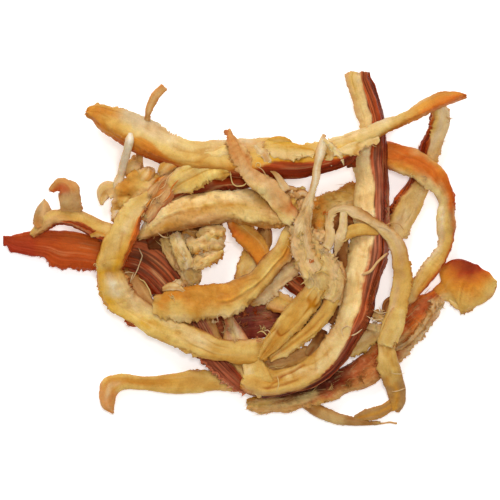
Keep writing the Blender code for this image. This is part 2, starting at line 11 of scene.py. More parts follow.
import bpy
import numpy as np
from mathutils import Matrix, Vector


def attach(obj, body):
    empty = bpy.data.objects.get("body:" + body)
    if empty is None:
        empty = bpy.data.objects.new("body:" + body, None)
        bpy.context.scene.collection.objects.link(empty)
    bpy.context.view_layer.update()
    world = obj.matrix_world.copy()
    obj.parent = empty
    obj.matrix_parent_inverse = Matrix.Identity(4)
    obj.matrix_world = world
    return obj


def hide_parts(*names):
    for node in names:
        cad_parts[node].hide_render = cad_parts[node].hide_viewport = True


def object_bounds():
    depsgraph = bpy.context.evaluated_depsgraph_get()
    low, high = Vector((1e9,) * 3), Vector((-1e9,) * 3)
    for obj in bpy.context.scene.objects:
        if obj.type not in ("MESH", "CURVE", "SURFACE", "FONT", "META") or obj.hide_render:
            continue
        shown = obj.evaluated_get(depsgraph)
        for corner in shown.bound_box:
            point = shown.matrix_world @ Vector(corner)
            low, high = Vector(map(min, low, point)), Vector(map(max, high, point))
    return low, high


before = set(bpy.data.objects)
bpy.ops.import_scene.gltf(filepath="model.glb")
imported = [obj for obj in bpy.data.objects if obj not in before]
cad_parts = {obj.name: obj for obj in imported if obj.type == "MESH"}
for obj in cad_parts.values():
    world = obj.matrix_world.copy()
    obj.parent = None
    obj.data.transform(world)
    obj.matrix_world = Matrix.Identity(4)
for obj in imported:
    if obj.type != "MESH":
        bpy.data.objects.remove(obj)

CAD_BOX = [list(corner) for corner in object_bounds()]
MM = 0.001
SEED = 40

# The heap's middle, as its routes are written, lies this far from the origin.
MIDDLE = np.array([0.005, 0.302, 0.0])

# Shape of a strip
RING_STEP = 0.3
SAMPLES_PER_SPAN = 40
FEWEST_RINGS = 12
CORNER_POWER = 3.8  # of the section's superellipse: 2 is round, more is squarer
OUTLINE_SAMPLES = 1441
THINNEST_SHARE = 0.35  # of the thickness, where the strip is narrow
LEAST_HALF_WIDTH = 0.22
ROUNDING = 0.93  # the section's girth against that of its box
POINTS_ROUND = ((2.7, 28), (5.0, 48), (99.0, 80))  # (widest below this, points round the section)
FULL_RELIEF_WIDTH = 6.0  # the relief of narrower strips is lower
LEAST_RELIEF = 0.35
TOP_FACE = 0.6  # share of the half thickness above which a point is on the upper face
END_RINGS = ((0.8, 0.5), (0.45, 0.9))  # a closed end's rings: (size against the last, ring steps beyond it)

# Relief of the flesh and skin
LUMP_SIZE = 3.0
LUMP_HEIGHT = 0.15
KNOB_SIZE = 1.15
KNOB_HEIGHT = 0.06
FIBRE_LENGTH = 5.0
FIBRE_WIDTH = 0.42
FIBRE_HEIGHT = 0.045
GROOVE_LENGTH = 11.0
GROOVE_WIDTH = 1.3
GROOVE_DEPTH = 0.17
LEAST_GROOVE = 0.2
RIDGE_WIDTH = 1.0
RIDGE_HEIGHT = 0.3
FACET_SIZE = 3.1
CHIP_SIZE = 0.42 * FACET_SIZE
FACET_HEIGHT = 0.27
PATCH_EDGE = 0.06
CRACK_LENGTH = 5.0
CRACK_SPACING = 1.1
CRACK_DEPTH = 0.06
SINEW_LENGTH = 9.0
SINEW_WIDTH = 2.0
SINEW_HEIGHT = 0.14
FOLD_WIDTH = 0.3
FOLD_FADE = 0.3  # of a station, at both ends of a fold
PIT_SIZE = 0.8
PIT_DEPTH = 0.22

# Torn edges and ends
TOOTH_SIZE = 0.75
TOOTH_DEPTH = 0.9
WAVE_SIZE = 3.4
WAVE_DEPTH = 3.0
EDGE_SHARE = 0.55  # the outer part of the width, from here to 1, moves with the teeth
END_TEAR = 0.7
END_TEAR_LENGTH = 1.6
END_TOOTH_SIZE = 0.6

# How much of a mark goes to red, green and blue
BLUSH = np.array([0.6, 1.0, 1.9])
PATCH = np.array([0.5, 0.9, 1.6])
# The lower side walls: their own amber, and painted shade on them
WALL_AMBER_AND_SHADE = np.array([0.1, 0.3, 0.5])
CRACK_STAIN = np.array([0.06, 0.11, 0.2])
# Painted shade in the sunk dark sinew lines
SINEW_SHADE = np.array([0.14, 0.27, 0.46])
# Painted shade in creases; crests get a painted highlight
CREASE_SHADE = np.array([0.7, 1.3, 1.7])
LINE_STAIN = np.array([0.56, 0.75, 0.8])
# Painted shade in hollows of the relief; raised relief gets a painted highlight
RELIEF_SHADING = np.array([0.06, 0.13, 0.23])
# Painted shade in pits
PIT_SHADE = np.array([0.5, 1.0, 1.5])
# Painted shade in the crumbs' dents; their bumps get a painted highlight
CRUMB_SHADE = np.array([0.55, 0.8, 1.05])
SPECK_SIZE = 0.55
COLOUR_CELL = 10.0  # length and girth that one unit of the sheet map covers

# Loose fibres: their radius from root to tip, against their thickest
BARB_TAPER = np.array([1.0, 0.95, 0.8, 0.55, 0.12])
TUFT_TAPER = np.array([0.8, 1.0, 0.9, 0.75, 0.5, 0.15])
BARBS_PER_MM = 0.55
BARB_ROOT = 0.12  # how deep a fibre starts in the flesh
THREAD_STEP = 0.3
THREAD_SIDES = 7
FEWEST_THREAD_STEPS = 8
THREAD_SLOPE = 0.7  # a laid thread bridges steeper drops than this
THREAD_SINK = 0.3
TUFT_DROP = 1.5  # a fibre that would start further below its tuft's middle starts at the middle
CELL = 0.4  # of the height map
MAP_REACH = 70.0

# Crumbs: lumps west of the line are smooth knuckles, the others torn flesh
SMOOTH_WEST = -17.5
SMOOTH_CRUMB = 0.35
CRUMB_ROWS = 9
CRUMB_POINTS = 16
CRUMB_POWER = 2.8
CRUMB_TONES = {"tan": 0.3, "peach": 0.25, "cream": 0.2, "honey": 0.15, "pale": 0.1}

# Finish: patterns drawn over the sheet map, and how many of each cloud go to a metre
FIBRE_DRAWN = (34.0, 3.2, 1.0)
ROWS_DRAWN = (22.0, 0.7, 1.0)
GRAIN_SCALE = 2600.0
BROAD_SCALE = 420.0
VEIN_SCALE = 300.0
REGION_SCALE = 150.0
HAIR_LINE = 0.012  # how far from a vein's middle its dark line reaches
STAIN = (0.56, 0.36, 0.2)  # light left in a hair line or speck
BUMP_HEIGHT = 0.00013

# Room, in metres and watts
CAMERA_HEIGHT = 1.5
HEAP_MIDDLE_HEIGHT = 0.006
VIEW_WIDTH = 0.125
SENSOR_WIDTH = 36.0
FLOOR_HALF = 1.5
FLOOR_DROP = 0.0002
FLOOR_GLOW = 0.4
ROOM_STRENGTH = 0.5
WHITE = (1.0, 1.0, 1.0, 1.0)
LIGHTS = (  # name, place, size, watts, share of highlights
    ("north_key", (-0.12, 0.42, 0.46), 0.2, 1.7, 1.0),
    ("high_fill", (0.08, 0.1, 0.9), 0.12, 2.3, 0.15),
)

# Colours as they look in soft white light, in 0 to 255
PALETTE = {
    "milk": (246, 232, 214), "ivory": (222, 204, 170), "bone": (198, 172, 130), "pale": (212, 180, 134),
    "cream": (214, 182, 116), "custard": (221, 189, 132), "butter": (244, 210, 146), "straw": (211, 172, 94),
    "lemon": (226, 192, 108), "golden": (208, 154, 40), "honey": (202, 154, 72), "ochre": (194, 136, 50),
    "amber": (204, 136, 48), "toast": (204, 124, 32), "orange": (204, 104, 28), "salmon": (202, 136, 72),
    "peach": (214, 170, 114), "tan": (200, 152, 92), "copper": (178, 92, 48), "rust": (176, 68, 16),
    "shell": (186, 112, 80), "rose": (196, 112, 76), "cherry": (162, 46, 20), "skin": (130, 36, 6),
    "maroon": (78, 18, 4), "brown": (156, 96, 42), "umber": (104, 52, 20), "dun": (166, 122, 70),
    "wine": (128, 46, 34), "plum": (96, 34, 40),
}


@dataclass
class Strip:
    """One strip and its look.

    thick is in millimetres and roll turns the section, in degrees. tones gives the colours from the left edge
    to the right, seen along the route. skin names the edge that keeps its skin, share how much of the width the
    skin covers, and skin_tones its colours from the flesh outwards. rag is the size of the teeth on the left and
    right edges. folds are creases, or crests where the depth is negative, each (station, column, station,
    column, depth) from end to end; a crease is also darkened as painted shade and a crest lightened as a painted
    highlight. warm is how amber and how dark the lower side walls are, partly their own amber and partly painted
    shade, comb how finely lined the skin is, fuzz the number of loose fibres; the rest are strengths of the
    relief. Strips with the same piece go into one object.
    """

    name: str
    thick: float
    roll: float
    stations: list
    tones: dict
    skin: str = ""
    share: dict = None
    skin_tones: dict = None
    rag: tuple = (0.2, 0.2)
    rough: float = 1.0
    fibre: float = 1.0
    groove: float = 0.0
    ridges: float = 1.0
    speckle: float = 0.0
    pits: float = 0.3
    fuzz: int = 0
    folds: tuple = ()
    warm: float = 1.0
    comb: dict = field(default_factory=lambda: {0: 1.0})
    piece: str = ""


STRIPS = [
    Strip("long_strip", 6, -35, [(-40.8, 34.3, 9.4, 2.4), (-38.2, 34.1, 9.4, 5.2), (-35, 32.5, 9.5, 7.2),
        (-31.3, 30.9, 9.6, 8.6), (-27.5, 28.8, 9.8, 9.2), (-23.8, 26.7, 10, 8.6), (-20, 24.9, 10.2, 7.9),
        (-15, 23.6, 10.5, 7.6), (-8.8, 23.1, 10.8, 8.4), (-1.3, 22.8, 11, 9.9), (6.3, 22.7, 11, 10.3),
        (12.5, 22.12, 11, 8.5), (18.75, 23.25, 11, 8), (23, 24.8, 11, 7.8), (26.5, 27.3, 11.2, 5.2),
        (30, 28.9, 11.5, 4.2), (33.8, 30.9, 11.2, 3.4), (37.5, 32.3, 10.6, 3.1), (42.5, 34.9, 10.2, 3.5),
        (47.5, 37.5, 10, 3.8), (50.5, 38.2, 9.8, 3.2), (53.8, 38.2, 9.6, 0.8)],
        {0: "amber toast amber amber honey", 1: "honey amber amber amber amber", 2: "honey amber honey amber toast",
         3: "bone bone straw honey amber", 4: "bone pale cream honey toast", 6: "pale custard straw honey toast",
         7: "straw cream straw honey amber", 9: "pale tan straw amber brown", 10: "golden straw golden toast brown",
         11: "golden straw golden toast brown", 13: "custard cream golden toast brown",
         14: "custard custard straw straw ochre", 15: "custard custard cream cream straw",
         16: "pale custard cream straw honey", 17: "cream straw honey amber amber", 18: "tan amber amber orange tan",
         20: "amber amber orange orange tan", 21: "rust orange orange amber tan"},
        skin="right", share={1: 0, 2: 0.12, 3: 0.28, 4: 0.4, 5: 0.42, 6: 0.28, 7: 0.06, 9: 0.2, 10: 0.42, 11: 0.52,
        13: 0.34, 14: 0.1, 15: 0, 17: 0}, skin_tones={2: "amber amber toast", 4: "amber toast rust",
        7: "toast rust skin", 9: "rust skin skin", 13: "rust skin skin", 15: "rust rust rust"}, rag=(0.34, 0.1),
        warm=0.8, rough=0.8, ridges=0.6, comb={0: 0.1, 6: 0.15, 9: 0.5, 13: 0.6, 15: 0.5}),
    Strip("torn_ledge", 3.6, 0, [(-19.75, 15, 9.8, 3.75), (-17.5, 17, 10.6, 6), (-14.5, 19, 11.3, 7),
        (-11.3, 20.8, 11.8, 7), (-7, 21.8, 12.4, 7.4), (-4.3, 22.3, 12.6, 6)],
        {0: "tan honey straw honey custard", 2: "custard lemon cream lemon lemon",
         5: "lemon custard lemon lemon lemon"},
        rag=(0.4, 0.35), rough=1.4, fibre=1.4),
    Strip("frayed_skin", 3, 0, [(-17.75, 20.5, 9.9, 3.75), (-21, 16.25, 9.3, 5.5), (-23.75, 12, 8.8, 5.5),
        (-26.5, 7.5, 8.2, 3)],
        {0: "tan amber copper peach toast", 3: "amber peach toast copper toast"},
        skin="left", share={0: 0.7, 3: 1.1}, skin_tones={0: "peach copper tan copper", 3: "tan toast peach copper"},
        comb={0: 0.2}, rag=(0.5, 0.5), fibre=1.6, rough=2.4, fuzz=60),
    Strip("skin_band", 2.6, -20, [(-19.5, 12.5, 8.2, 2), (-15, 15, 8.8, 3), (-10, 16.4, 9.2, 3.8),
        (-3.8, 17, 9.4, 4), (0.5, 17, 9.4, 3)],
        {0: "skin rust skin maroon skin", 4: "maroon skin rust skin maroon"},
        fibre=1.2, piece="frayed_skin"),
    Strip("orange_flap", 2.4, 0, [(-5.3, 29.6, 13.6, 1), (-4.75, 27.25, 14.6, 3), (-3.5, 24.75, 15.2, 3.75),
        (-1.75, 22, 15.2, 4.25), (-0.5, 19.5, 14.7, 4.5), (1.5, 17.5, 13.9, 5), (3.75, 16, 13.4, 5.5),
        (5.75, 14, 13, 5.5), (7.3, 11.5, 12.5, 4.8), (9, 9.5, 12, 4.4), (11, 7.5, 11.5, 3)],
        {0: "copper salmon salmon copper brown", 2: "tan salmon salmon salmon tan", 4: "tan salmon peach peach tan",
         6: "peach peach peach cream cream", 8: "tan salmon tan peach cream", 9: "copper orange salmon cream cream",
         10: "salmon peach cream cream cream"},
        rag=(0.26, 0.36), fibre=0.8, rough=1.7, pits=0.8),
    Strip("pale_string", 1.5, 0, [(3.5, 23.75, 15.3, 1.75), (4.5, 21.75, 15.2, 1.75), (5.75, 19.75, 14.6, 1.5),
        (7.25, 17.75, 13.9, 1.75), (9, 15, 12.8, 2.25)],
        {0: "pale pale peach pale pale", 4: "pale peach peach pale cream"},
        rag=(0.1, 0.1), piece="hanging_strings"),
    Strip("hanging_string", 1.8, 0, [(18.3, 28.6, 13.4, 0.8), (18, 26, 14.6, 2.4), (17.3, 23.3, 14.8, 2.2),
        (16.5, 20.5, 14.4, 1.9), (16.3, 17.5, 13.8, 2), (15.5, 14.5, 13.1, 1.7), (14.5, 11.8, 12.6, 2.5),
        (13.8, 8.8, 12.3, 2.9), (13.5, 5.5, 12, 3.4), (13, 2, 11.7, 4.4)],
        {0: "brown tan tan pale pale", 1: "tan pale ivory pale tan", 4: "pale pale ivory pale tan",
         9: "pale custard pale pale custard"},
        rag=(0.12, 0.12), rough=0.7, fibre=0.6, pits=0, piece="hanging_strings"),
    Strip("torn_flap", 1.6, 0, [(18.6, 27.3, 14.2, 1.6), (20.2, 25.2, 14.4, 2.6), (21.6, 22.8, 13.6, 1.8)],
        {0: "pale custard straw pale cream"},
        rag=(0.5, 0.6), rough=1.2, fibre=1.8, pits=0.5, piece="hanging_strings"),
    Strip("flesh_sheet", 2.8, 0, [(11.5, 6, 11.2, 3.6), (13, 2.6, 11, 6), (15, -1.5, 10.6, 8.4),
        (17.2, -5, 10, 9), (18.2, -8.3, 9.2, 8.4), (18.6, -11.6, 8.2, 7.6)],
        {0: "custard peach pale custard peach", 2: "peach straw custard pale peach",
         4: "pale peach straw custard straw", 5: "tan straw honey straw tan"},
        rag=(0.5, 0.5), pits=0, warm=0.5, fuzz=260),
    Strip("sheet_edge", 2.2, 0, [(22, -3, 7.4, 2.4), (22.2, -6.3, 7.4, 3.4), (21.8, -10, 7.4, 3.4),
        (21, -13.5, 7.2, 3)],
        {0: "brown tan pale custard tan", 3: "tan pale custard tan brown"},
        rag=(0.4, 0.5), rough=1.6, piece="flesh_sheet"),
    Strip("split_strip_outer", 4.2, 0, [(17, -9, 8.8, 5), (14.3, -13, 8.2, 5.9), (11, -17, 7.6, 5.9),
        (8, -20.5, 7.2, 5.4), (5.3, -24, 6.8, 4.2), (2.7, -27.2, 6.2, 1.6)],
        {0: "straw straw straw honey tan", 2: "honey honey ochre honey straw", 5: "ochre honey ochre honey straw"},
        rag=(0.25, 0.25), fibre=2.2, groove=0.6, pits=0, piece="split_strip", folds=((2.2, 0.36, 6, 0.3, 0.12),
        (2.6, 0.68, 6, 0.62, 0.12))),
    Strip("split_strip_inner", 3.6, 0, [(20.8, -11.8, 7.8, 3.6), (18.9, -15.6, 7.2, 3.6), (15.9, -19.1, 6.9, 3.6),
        (12.5, -21.9, 6.6, 3.4), (8.8, -24.7, 6.2, 2.9), (5, -27.2, 5.8, 1.6)],
        {0: "straw honey straw honey brown", 2: "straw honey ochre honey ochre", 5: "honey honey ochre honey ochre"},
        rag=(0.25, 0.25), fibre=2.4, groove=0.6, piece="split_strip", folds=((1, 0.5, 6, 0.5, 0.22),)),
    Strip("webbed_strip", 2.8, 0, [(20, 7.8, 11, 1.6), (20.6, 9.6, 11.2, 1.8), (23.8, 10.4, 11.3, 1.7),
        (27, 9.1, 11.3, 2.8), (30, 7.4, 11.3, 2.7), (32.8, 5.5, 11, 2.7), (35.3, 3.2, 10.4, 3.3), (37, 0.2, 9.8, 4),
        (37.8, -4, 8.8, 4.4), (38, -8, 7.8, 4.6), (37.1, -13.5, 7.2, 4.8), (35.4, -19, 7, 4.7), (34, -23.5, 6.6, 4.2),
        (34.3, -27.8, 6, 5.2), (35.4, -31.2, 4.4, 5.2), (36.7, -35, 2.6, 4.6), (36.9, -37.8, 1.7, 4),
        (36.2, -40.2, 1.3, 2.8)],
        {0: "cream pale cream pale cream", 4: "brown tan pale pale cream", 6: "tan pale pale cream pale",
         8: "ochre honey tan honey tan", 9: "ochre honey honey tan straw", 11: "honey straw straw pale straw",
         13: "straw honey straw straw straw", 14: "dun honey straw ochre dun", 15: "dun dun ochre dun dun",
         17: "dun dun ochre ochre brown"},
        rag=(0.18, 0.18), folds=((11, 0.35, 15, 0.6, 0.08),)),
    Strip("web_left_leg", 1.8, 0, [(20, 9, 11, 2.2), (19.5, 6, 10.9, 2.1), (20, 3, 10.6, 2.8),
        (18.8, 0.5, 10.4, 2.6)],
        {0: "pale cream pale tan cream", 3: "pale pale cream pale tan"},
        rag=(0.2, 0.25), fibre=1.4, piece="web_legs"),
    Strip("web_right_leg", 1.8, 0, [(23.5, 9.4, 11.1, 1.8), (23.2, 5.6, 11, 2.2), (22.3, 2.6, 10.6, 2.6),
        (21.6, 0.2, 9.8, 1.3), (21.3, -1.5, 9.2, 0.5)],
        {0: "pale cream pale pale cream", 4: "pale pale cream pale pale"},
        rag=(0.15, 0.15), fibre=1.4, piece="web_legs"),
    Strip("ochre_bridge", 2.2, 0, [(22.5, 2.8, 10.2, 1.8), (25.5, 4.8, 10.2, 3.2), (28.5, 5.2, 10.2, 3),
        (32.2, 4.5, 10, 2)],
        {0: "honey honey straw honey ochre", 3: "straw honey honey honey ochre"},
        rag=(0.2, 0.25), piece="web_legs"),
    Strip("yellow_loop", 4.8, 0, [(-23.8, 15, 9.2, 1.6), (-26.25, 12.5, 9.4, 4), (-29.38, 9, 9.4, 5.5),
        (-31, 5.5, 9.2, 6.9), (-32.8, 2, 8.8, 7.2), (-34.5, -1.5, 8.2, 7), (-35.3, -4.8, 7.2, 6.2),
        (-34.2, -8.3, 6, 7.6), (-32.75, -11.75, 5, 8), (-29.25, -14.62, 4.4, 6.75), (-25.25, -17.12, 4.4, 6.5),
        (-21.2, -19.6, 5.2, 6.8), (-16.9, -21.3, 6.2, 6.8), (-12.4, -23.3, 6.8, 6.3), (-8, -25, 6.8, 5.3),
        (-3, -25.5, 6.2, 5.6), (0.75, -25.38, 5.4, 6.25), (4.25, -25, 4.4, 5)],
        {0: "tan custard straw straw cream", 1: "orange custard straw straw cream",
         3: "amber straw custard straw straw", 5: "amber golden straw cream golden",
         6: "honey golden ochre golden golden", 7: "tan custard ivory straw golden",
         8: "brown custard straw golden golden", 9: "tan custard custard lemon golden",
         10: "brown cream lemon golden lemon", 11: "straw custard lemon lemon straw",
         13: "honey custard custard straw straw", 14: "straw straw honey honey ochre",
         16: "tan honey straw honey ochre", 17: "tan honey straw honey tan"},
        skin="left", share={0: 0.1, 1: 0.2, 3: 0.22, 4: 0.14, 5: 0.06, 6: 0},
        skin_tones={0: "amber copper", 4: "orange rust"}, rag=(0.24, 0.2), pits=0.4, groove=0.1, ridges=0.4,
        folds=((3.2, 0.5, 4.6, 0.3, 0.16), (4.8, 0.2, 5.4, 0.8, 0.16), (7.9, 0.95, 8.6, 0.15, 0.2),
        (12, 0.7, 14, 0.3, 0.08))),
    Strip("pale_arc", 4.6, -25, [(-27.8, 3, 6.2, 1.2), (-24.8, 5.3, 7.2, 4.8), (-21.3, 8, 8, 7.2),
        (-17.5, 9.5, 8.4, 9.2), (-13.3, 10.3, 8.6, 9.4), (-8.8, 11, 8.6, 9), (-4.3, 11.4, 8.8, 8.8),
        (0, 10.6, 9, 9.4), (4, 10, 9, 9.2), (7.8, 9, 9, 7.2), (10.8, 7.8, 9, 3.6)],
        {0: "tan straw tan tan brown", 1: "ivory butter straw tan brown", 2: "ivory butter custard ochre tan",
         4: "butter butter ochre tan brown", 5: "butter butter honey tan brown", 6: "custard butter ochre straw tan",
         7: "straw custard straw cream straw", 8: "honey straw tan straw tan", 10: "tan honey tan tan honey"},
        rag=(0.2, 0.3), rough=1.1, speckle=0.5, pits=0.6, folds=((1, 0.46, 5, 0.44, -0.2), (1, 0.54, 5, 0.52, 0.16))),
    Strip("inner_arc", 4.6, 0, [(10.75, 6.25, 9, 2.75), (9.62, 2.75, 8.8, 4), (8, -0.75, 8.6, 4.5),
        (5.12, -4, 8.4, 5.5), (2.12, -7.5, 8.2, 5.5), (-1.8, -10.2, 8, 7.4), (-5.5, -12.2, 7.8, 7.8),
        (-10, -12.8, 7.6, 8.2), (-14.3, -13.3, 7.4, 8.8), (-18.3, -13.5, 7, 8), (-21.8, -13.6, 6.6, 6.2),
        (-24, -12.8, 6.2, 2.8)],
        {0: "tan tan honey tan tan", 1: "brown amber ochre straw straw", 2: "brown amber ochre straw tan",
         3: "brown honey straw honey brown", 4: "straw straw straw honey brown", 5: "straw straw honey amber brown",
         6: "custard straw amber amber amber", 8: "straw ochre amber ochre amber",
         9: "custard straw honey toast amber", 10: "straw honey amber amber honey",
         11: "cream straw honey straw tan"},
        rag=(0.35, 0.2), speckle=0.16, folds=((1.5, 0.42, 6.5, 0.5, -0.3), (1.5, 0.32, 6.5, 0.4, 0.2))),
    # The butter tones of stations 6 to 13 are lighter than the flesh itself: painted light on flesh that the lamps
    # leave in shade.
    Strip("skin_edged_strip", 5.6, 30, [(27.3, 44.2, 6.4, 5.7), (27.3, 42.4, 6.5, 6.2), (28.2, 39.6, 6.6, 6.8),
        (29.3, 36.3, 6.8, 7), (30.5, 32, 6.8, 6.6), (30.6, 27, 6.6, 7.4), (30, 22.5, 6.5, 8.9),
        (30.5, 17.5, 6.5, 8.2), (30.3, 12.5, 6.5, 8.6), (30.1, 5, 6.5, 9.2), (29.3, -2, 6.5, 10),
        (28.3, -6.3, 6.5, 9.2), (27.4, -10.5, 6.4, 8.6), (26.6, -14.5, 6.3, 8.5), (25, -18.5, 6.2, 8),
        (22.8, -22.8, 6, 7.6), (20, -26.5, 5.8, 7.3), (16.6, -29.9, 5.6, 6.8), (12.6, -31.9, 5.3, 6.4),
        (8.6, -33, 5, 6.4), (4.5, -33.3, 4.6, 7), (1, -32, 4.2, 8.8), (-1.2, -31.4, 4, 7.2)],
        {0: "tan straw custard straw tan", 2: "honey straw custard straw tan", 3: "honey straw custard cream tan",
         6: "honey butter butter butter cream", 9: "straw butter butter butter cream",
         13: "honey cream butter cream custard", 15: "amber custard cream custard tan",
         17: "honey straw custard straw ochre", 18: "straw straw honey custard straw",
         19: "honey straw ochre straw honey", 20: "tan honey ochre straw honey", 22: "amber straw straw straw straw"},
        skin="left", share={0: 0.42, 3: 0.5, 5: 0.54, 6: 0.5, 7: 0.42, 8: 0.42, 9: 0.46, 10: 0.48, 12: 0.44, 13: 0.44,
        15: 0.36, 16: 0.28, 17: 0.2, 18: 0.1, 20: 0.05, 21: 0}, skin_tones={0: "copper copper rust skin",
        3: "rust copper rust skin", 5: "rust copper skin skin", 6: "rust shell skin copper",
        8: "copper shell skin shell", 11: "copper shell rust copper", 13: "copper rust copper skin",
        15: "rust shell skin copper", 17: "rust copper skin skin", 18: "skin maroon skin maroon"}, rag=(0.2, 0.3),
        pits=0.5, ridges=0.75, rough=0.9, folds=((17.5, 0.9, 19.6, 0.72, 0.4), (18.2, 0.5, 20.2, 0.3, 0.35),
        (19, 0.78, 20, 0.3, 0.3), (5.4, 1, 5.9, 0.66, 0.14), (7.2, 1, 7.6, 0.7, 0.12), (9.3, 0.95, 9.8, 0.62, 0.12),
        (14.4, 1, 14.9, 0.55, 0.14), (15.6, 0.95, 16.2, 0.45, 0.16), (16.6, 0.9, 17.2, 0.4, 0.16))),
    Strip("orange_arc", 3.8, 0, [(24.5, 22.4, 7.4, 4), (29.5, 23.3, 4.6, 6), (33.8, 23.9, 4.8, 6.8),
        (37.5, 22.8, 5.6, 6.9), (41.3, 21.3, 6.2, 6.9), (44.9, 19, 6.2, 6.9), (47.6, 16, 5.8, 5.2),
        (49.1, 12.8, 5.2, 3.9), (49.2, 9, 4.6, 4.2), (49, 5.5, 4.4, 4.7), (49.2, 2.6, 4.2, 3.8),
        (48.2, -0.5, 4.2, 3.6), (45.8, -3.8, 4.2, 4.2), (43.2, -7.2, 4.4, 4.2), (40.9, -10.3, 4.8, 3.6),
        (39, -13, 5, 3)],
        {0: "umber maroon umber skin umber", 1: "rust rust skin rust rust", 2: "orange orange orange orange rust",
         3: "orange orange orange amber tan", 4: "tan orange orange amber cream", 5: "amber orange orange tan cream",
         6: "orange orange salmon cream cream", 7: "rust orange tan cream pale", 8: "rust dun straw pale straw",
         10: "rust honey straw pale pale", 12: "rust ochre honey straw pale", 14: "rust ochre honey straw tan",
         15: "brown tan straw tan tan"},
        rag=(0.14, 0.15), groove=0.3, folds=((3, 0.6, 6, 0.5, 0.08),)),
    Strip("leaning_strip", 4, -25, [(46.9, 35.9, 8.6, 3.4), (47.6, 33.2, 7, 4.9), (47, 30, 5.2, 4.9),
        (45.7, 26.8, 4, 5.3), (44.7, 24, 3.2, 5.5), (43.6, 20.5, 2.6, 5.8), (42.2, 16, 1.9, 6), (39.2, 10.9, 1.8, 7),
        (37.4, 7.2, 2.4, 7), (35.8, 4, 4, 5.8), (34.5, 2, 5.6, 3.4)],
        {0: "custard pale custard straw tan", 1: "pale custard pale straw honey", 3: "tan custard pale straw orange",
         5: "honey tan honey orange rust", 6: "straw custard straw tan orange", 8: "straw custard pale straw tan",
         10: "tan straw tan tan brown"},
        skin="right", share={0: 0.05, 2: 0.2, 3: 0.34, 4: 0.5, 5: 0.45, 6: 0.2, 8: 0.12, 10: 0.1},
        skin_tones={0: "orange rust", 4: "rust skin", 8: "orange rust"}, rag=(0.32, 0.25), pits=0.5),
    Strip("arched_strip", 3.2, -30, [(-54.5, 3.8, 2.8, 1.8), (-52, 6, 4, 3.2), (-49.3, 8, 5.6, 3.9),
        (-46.3, 8.3, 6.2, 4.1), (-43, 7.6, 6.2, 4.5), (-40, 6.3, 5.8, 4.9), (-37, 4.8, 5.4, 4.9),
        (-34, 3.5, 5.6, 4.7), (-31.5, 2.3, 6.4, 4)],
        {0: "tan straw tan tan tan", 2: "tan straw tan tan rust", 4: "tan straw honey honey rust",
         7: "tan straw straw honey rust", 8: "straw straw honey amber rust"},
        skin="right", share={0: 0, 2: 0.12, 3: 0.3, 5: 0.42, 7: 0.32, 8: 0.2}, skin_tones={0: "rust rust"},
        rag=(0.12, 0.12)),
    Strip("upright_curl", 2.4, 0, [(-44.75, 7.75, 3.2, 5.5), (-44.75, 10.75, 6.6, 5.5), (-44.9, 13, 10.6, 5.5),
        (-45.6, 15.2, 12.2, 5), (-47, 16.2, 12.6, 3.6), (-48.4, 15.7, 12.2, 2.6), (-49.9, 14.8, 11.6, 0.8)],
        {0: "tan peach peach tan tan", 2: "tan peach peach peach tan", 3: "brown copper copper salmon tan",
         4: "rust rust copper salmon tan", 6: "rust orange salmon tan tan"},
        rag=(0.1, 0.1), piece="curled_end"),
    Strip("end_lobe", 2.6, 0, [(-51.88, 5.75, 4.2, 4.25), (-51.75, 7.75, 4.4, 4.75), (-51.62, 9.75, 4.6, 4),
        (-51.5, 11.5, 4.8, 2.25), (-51.5, 12.6, 4.8, 0.6)],
        {0: "tan salmon tan bone tan", 2: "dun dun tan dun dun", 4: "tan bone tan tan tan"},
        rag=(0.15, 0.15), piece="curled_end"),
    Strip("top_filament", 1.5, 0, [(-25.62, 29.75, 7.4, 1.75), (-25.62, 31.75, 9.2, 1.75),
        (-25.38, 34, 12.2, 1.5), (-24.62, 36.25, 13, 2), (-23.38, 38.5, 13.5, 2.25), (-21.38, 40.5, 13.8, 2.25)],
        {0: "tan tan peach tan tan", 3: "salmon tan peach tan salmon", 5: "salmon salmon tan tan salmon"},
        rag=(0.06, 0.06), fibre=0.5, piece="fine_strings"),
    Strip("hanging_cord", 1.8, 0, [(-29.75, 29, 14.2, 1.25), (-30, 27, 14, 2.25), (-30.75, 24.25, 11.6, 2.25),
        (-31.5, 21.75, 8.4, 2), (-32.25, 19, 5.6, 2), (-33, 16.3, 4.6, 2.6), (-33, 13.5, 4.2, 2.5),
        (-33.2, 10.5, 4, 2.6), (-33.6, 7.8, 4.2, 2.2)],
        {0: "ivory ivory milk ivory ivory", 2: "pale ivory ivory ivory pale", 8: "pale custard ivory custard pale"},
        rag=(0.06, 0.06), fibre=0.5, piece="fine_strings"),
    Strip("cord_flag", 1.8, 0, [(-33.5, 15.25, 4.6, 3.75), (-35.25, 15, 4.4, 4.75), (-36.38, 14.38, 4.2, 4),
        (-37, 12.75, 4, 2.25), (-37.12, 11.5, 3.8, 1)],
        {0: "pale custard pale straw pale", 4: "pale custard straw custard pale"},
        rag=(0.08, 0.08), piece="fine_strings"),
    Strip("lump_neck", 2, 0, [(-27.4, 25.6, 8.6, 2.2), (-27.7, 22.6, 6.6, 2), (-27.8, 19.8, 5, 2.4)],
        {0: "tan honey tan brown tan", 2: "tan tan honey tan tan"},
        rag=(0.1, 0.1), piece="fine_strings"),
    Strip("orange_under_strip", 3.4, 0, [(-4.8, 9.8, 7.6, 2.8), (-3.3, 6.3, 6.6, 4), (-1.2, 3.8, 6, 5.1),
        (0.9, 1.8, 5.8, 5.6), (2.5, -0.6, 5.8, 5.2), (3.8, -3.2, 6, 4)],
        {0: "toast toast orange toast salmon", 1: "amber honey toast orange orange",
         3: "honey amber toast toast amber", 5: "amber amber toast toast orange"},
        rag=(0.1, 0.12)),
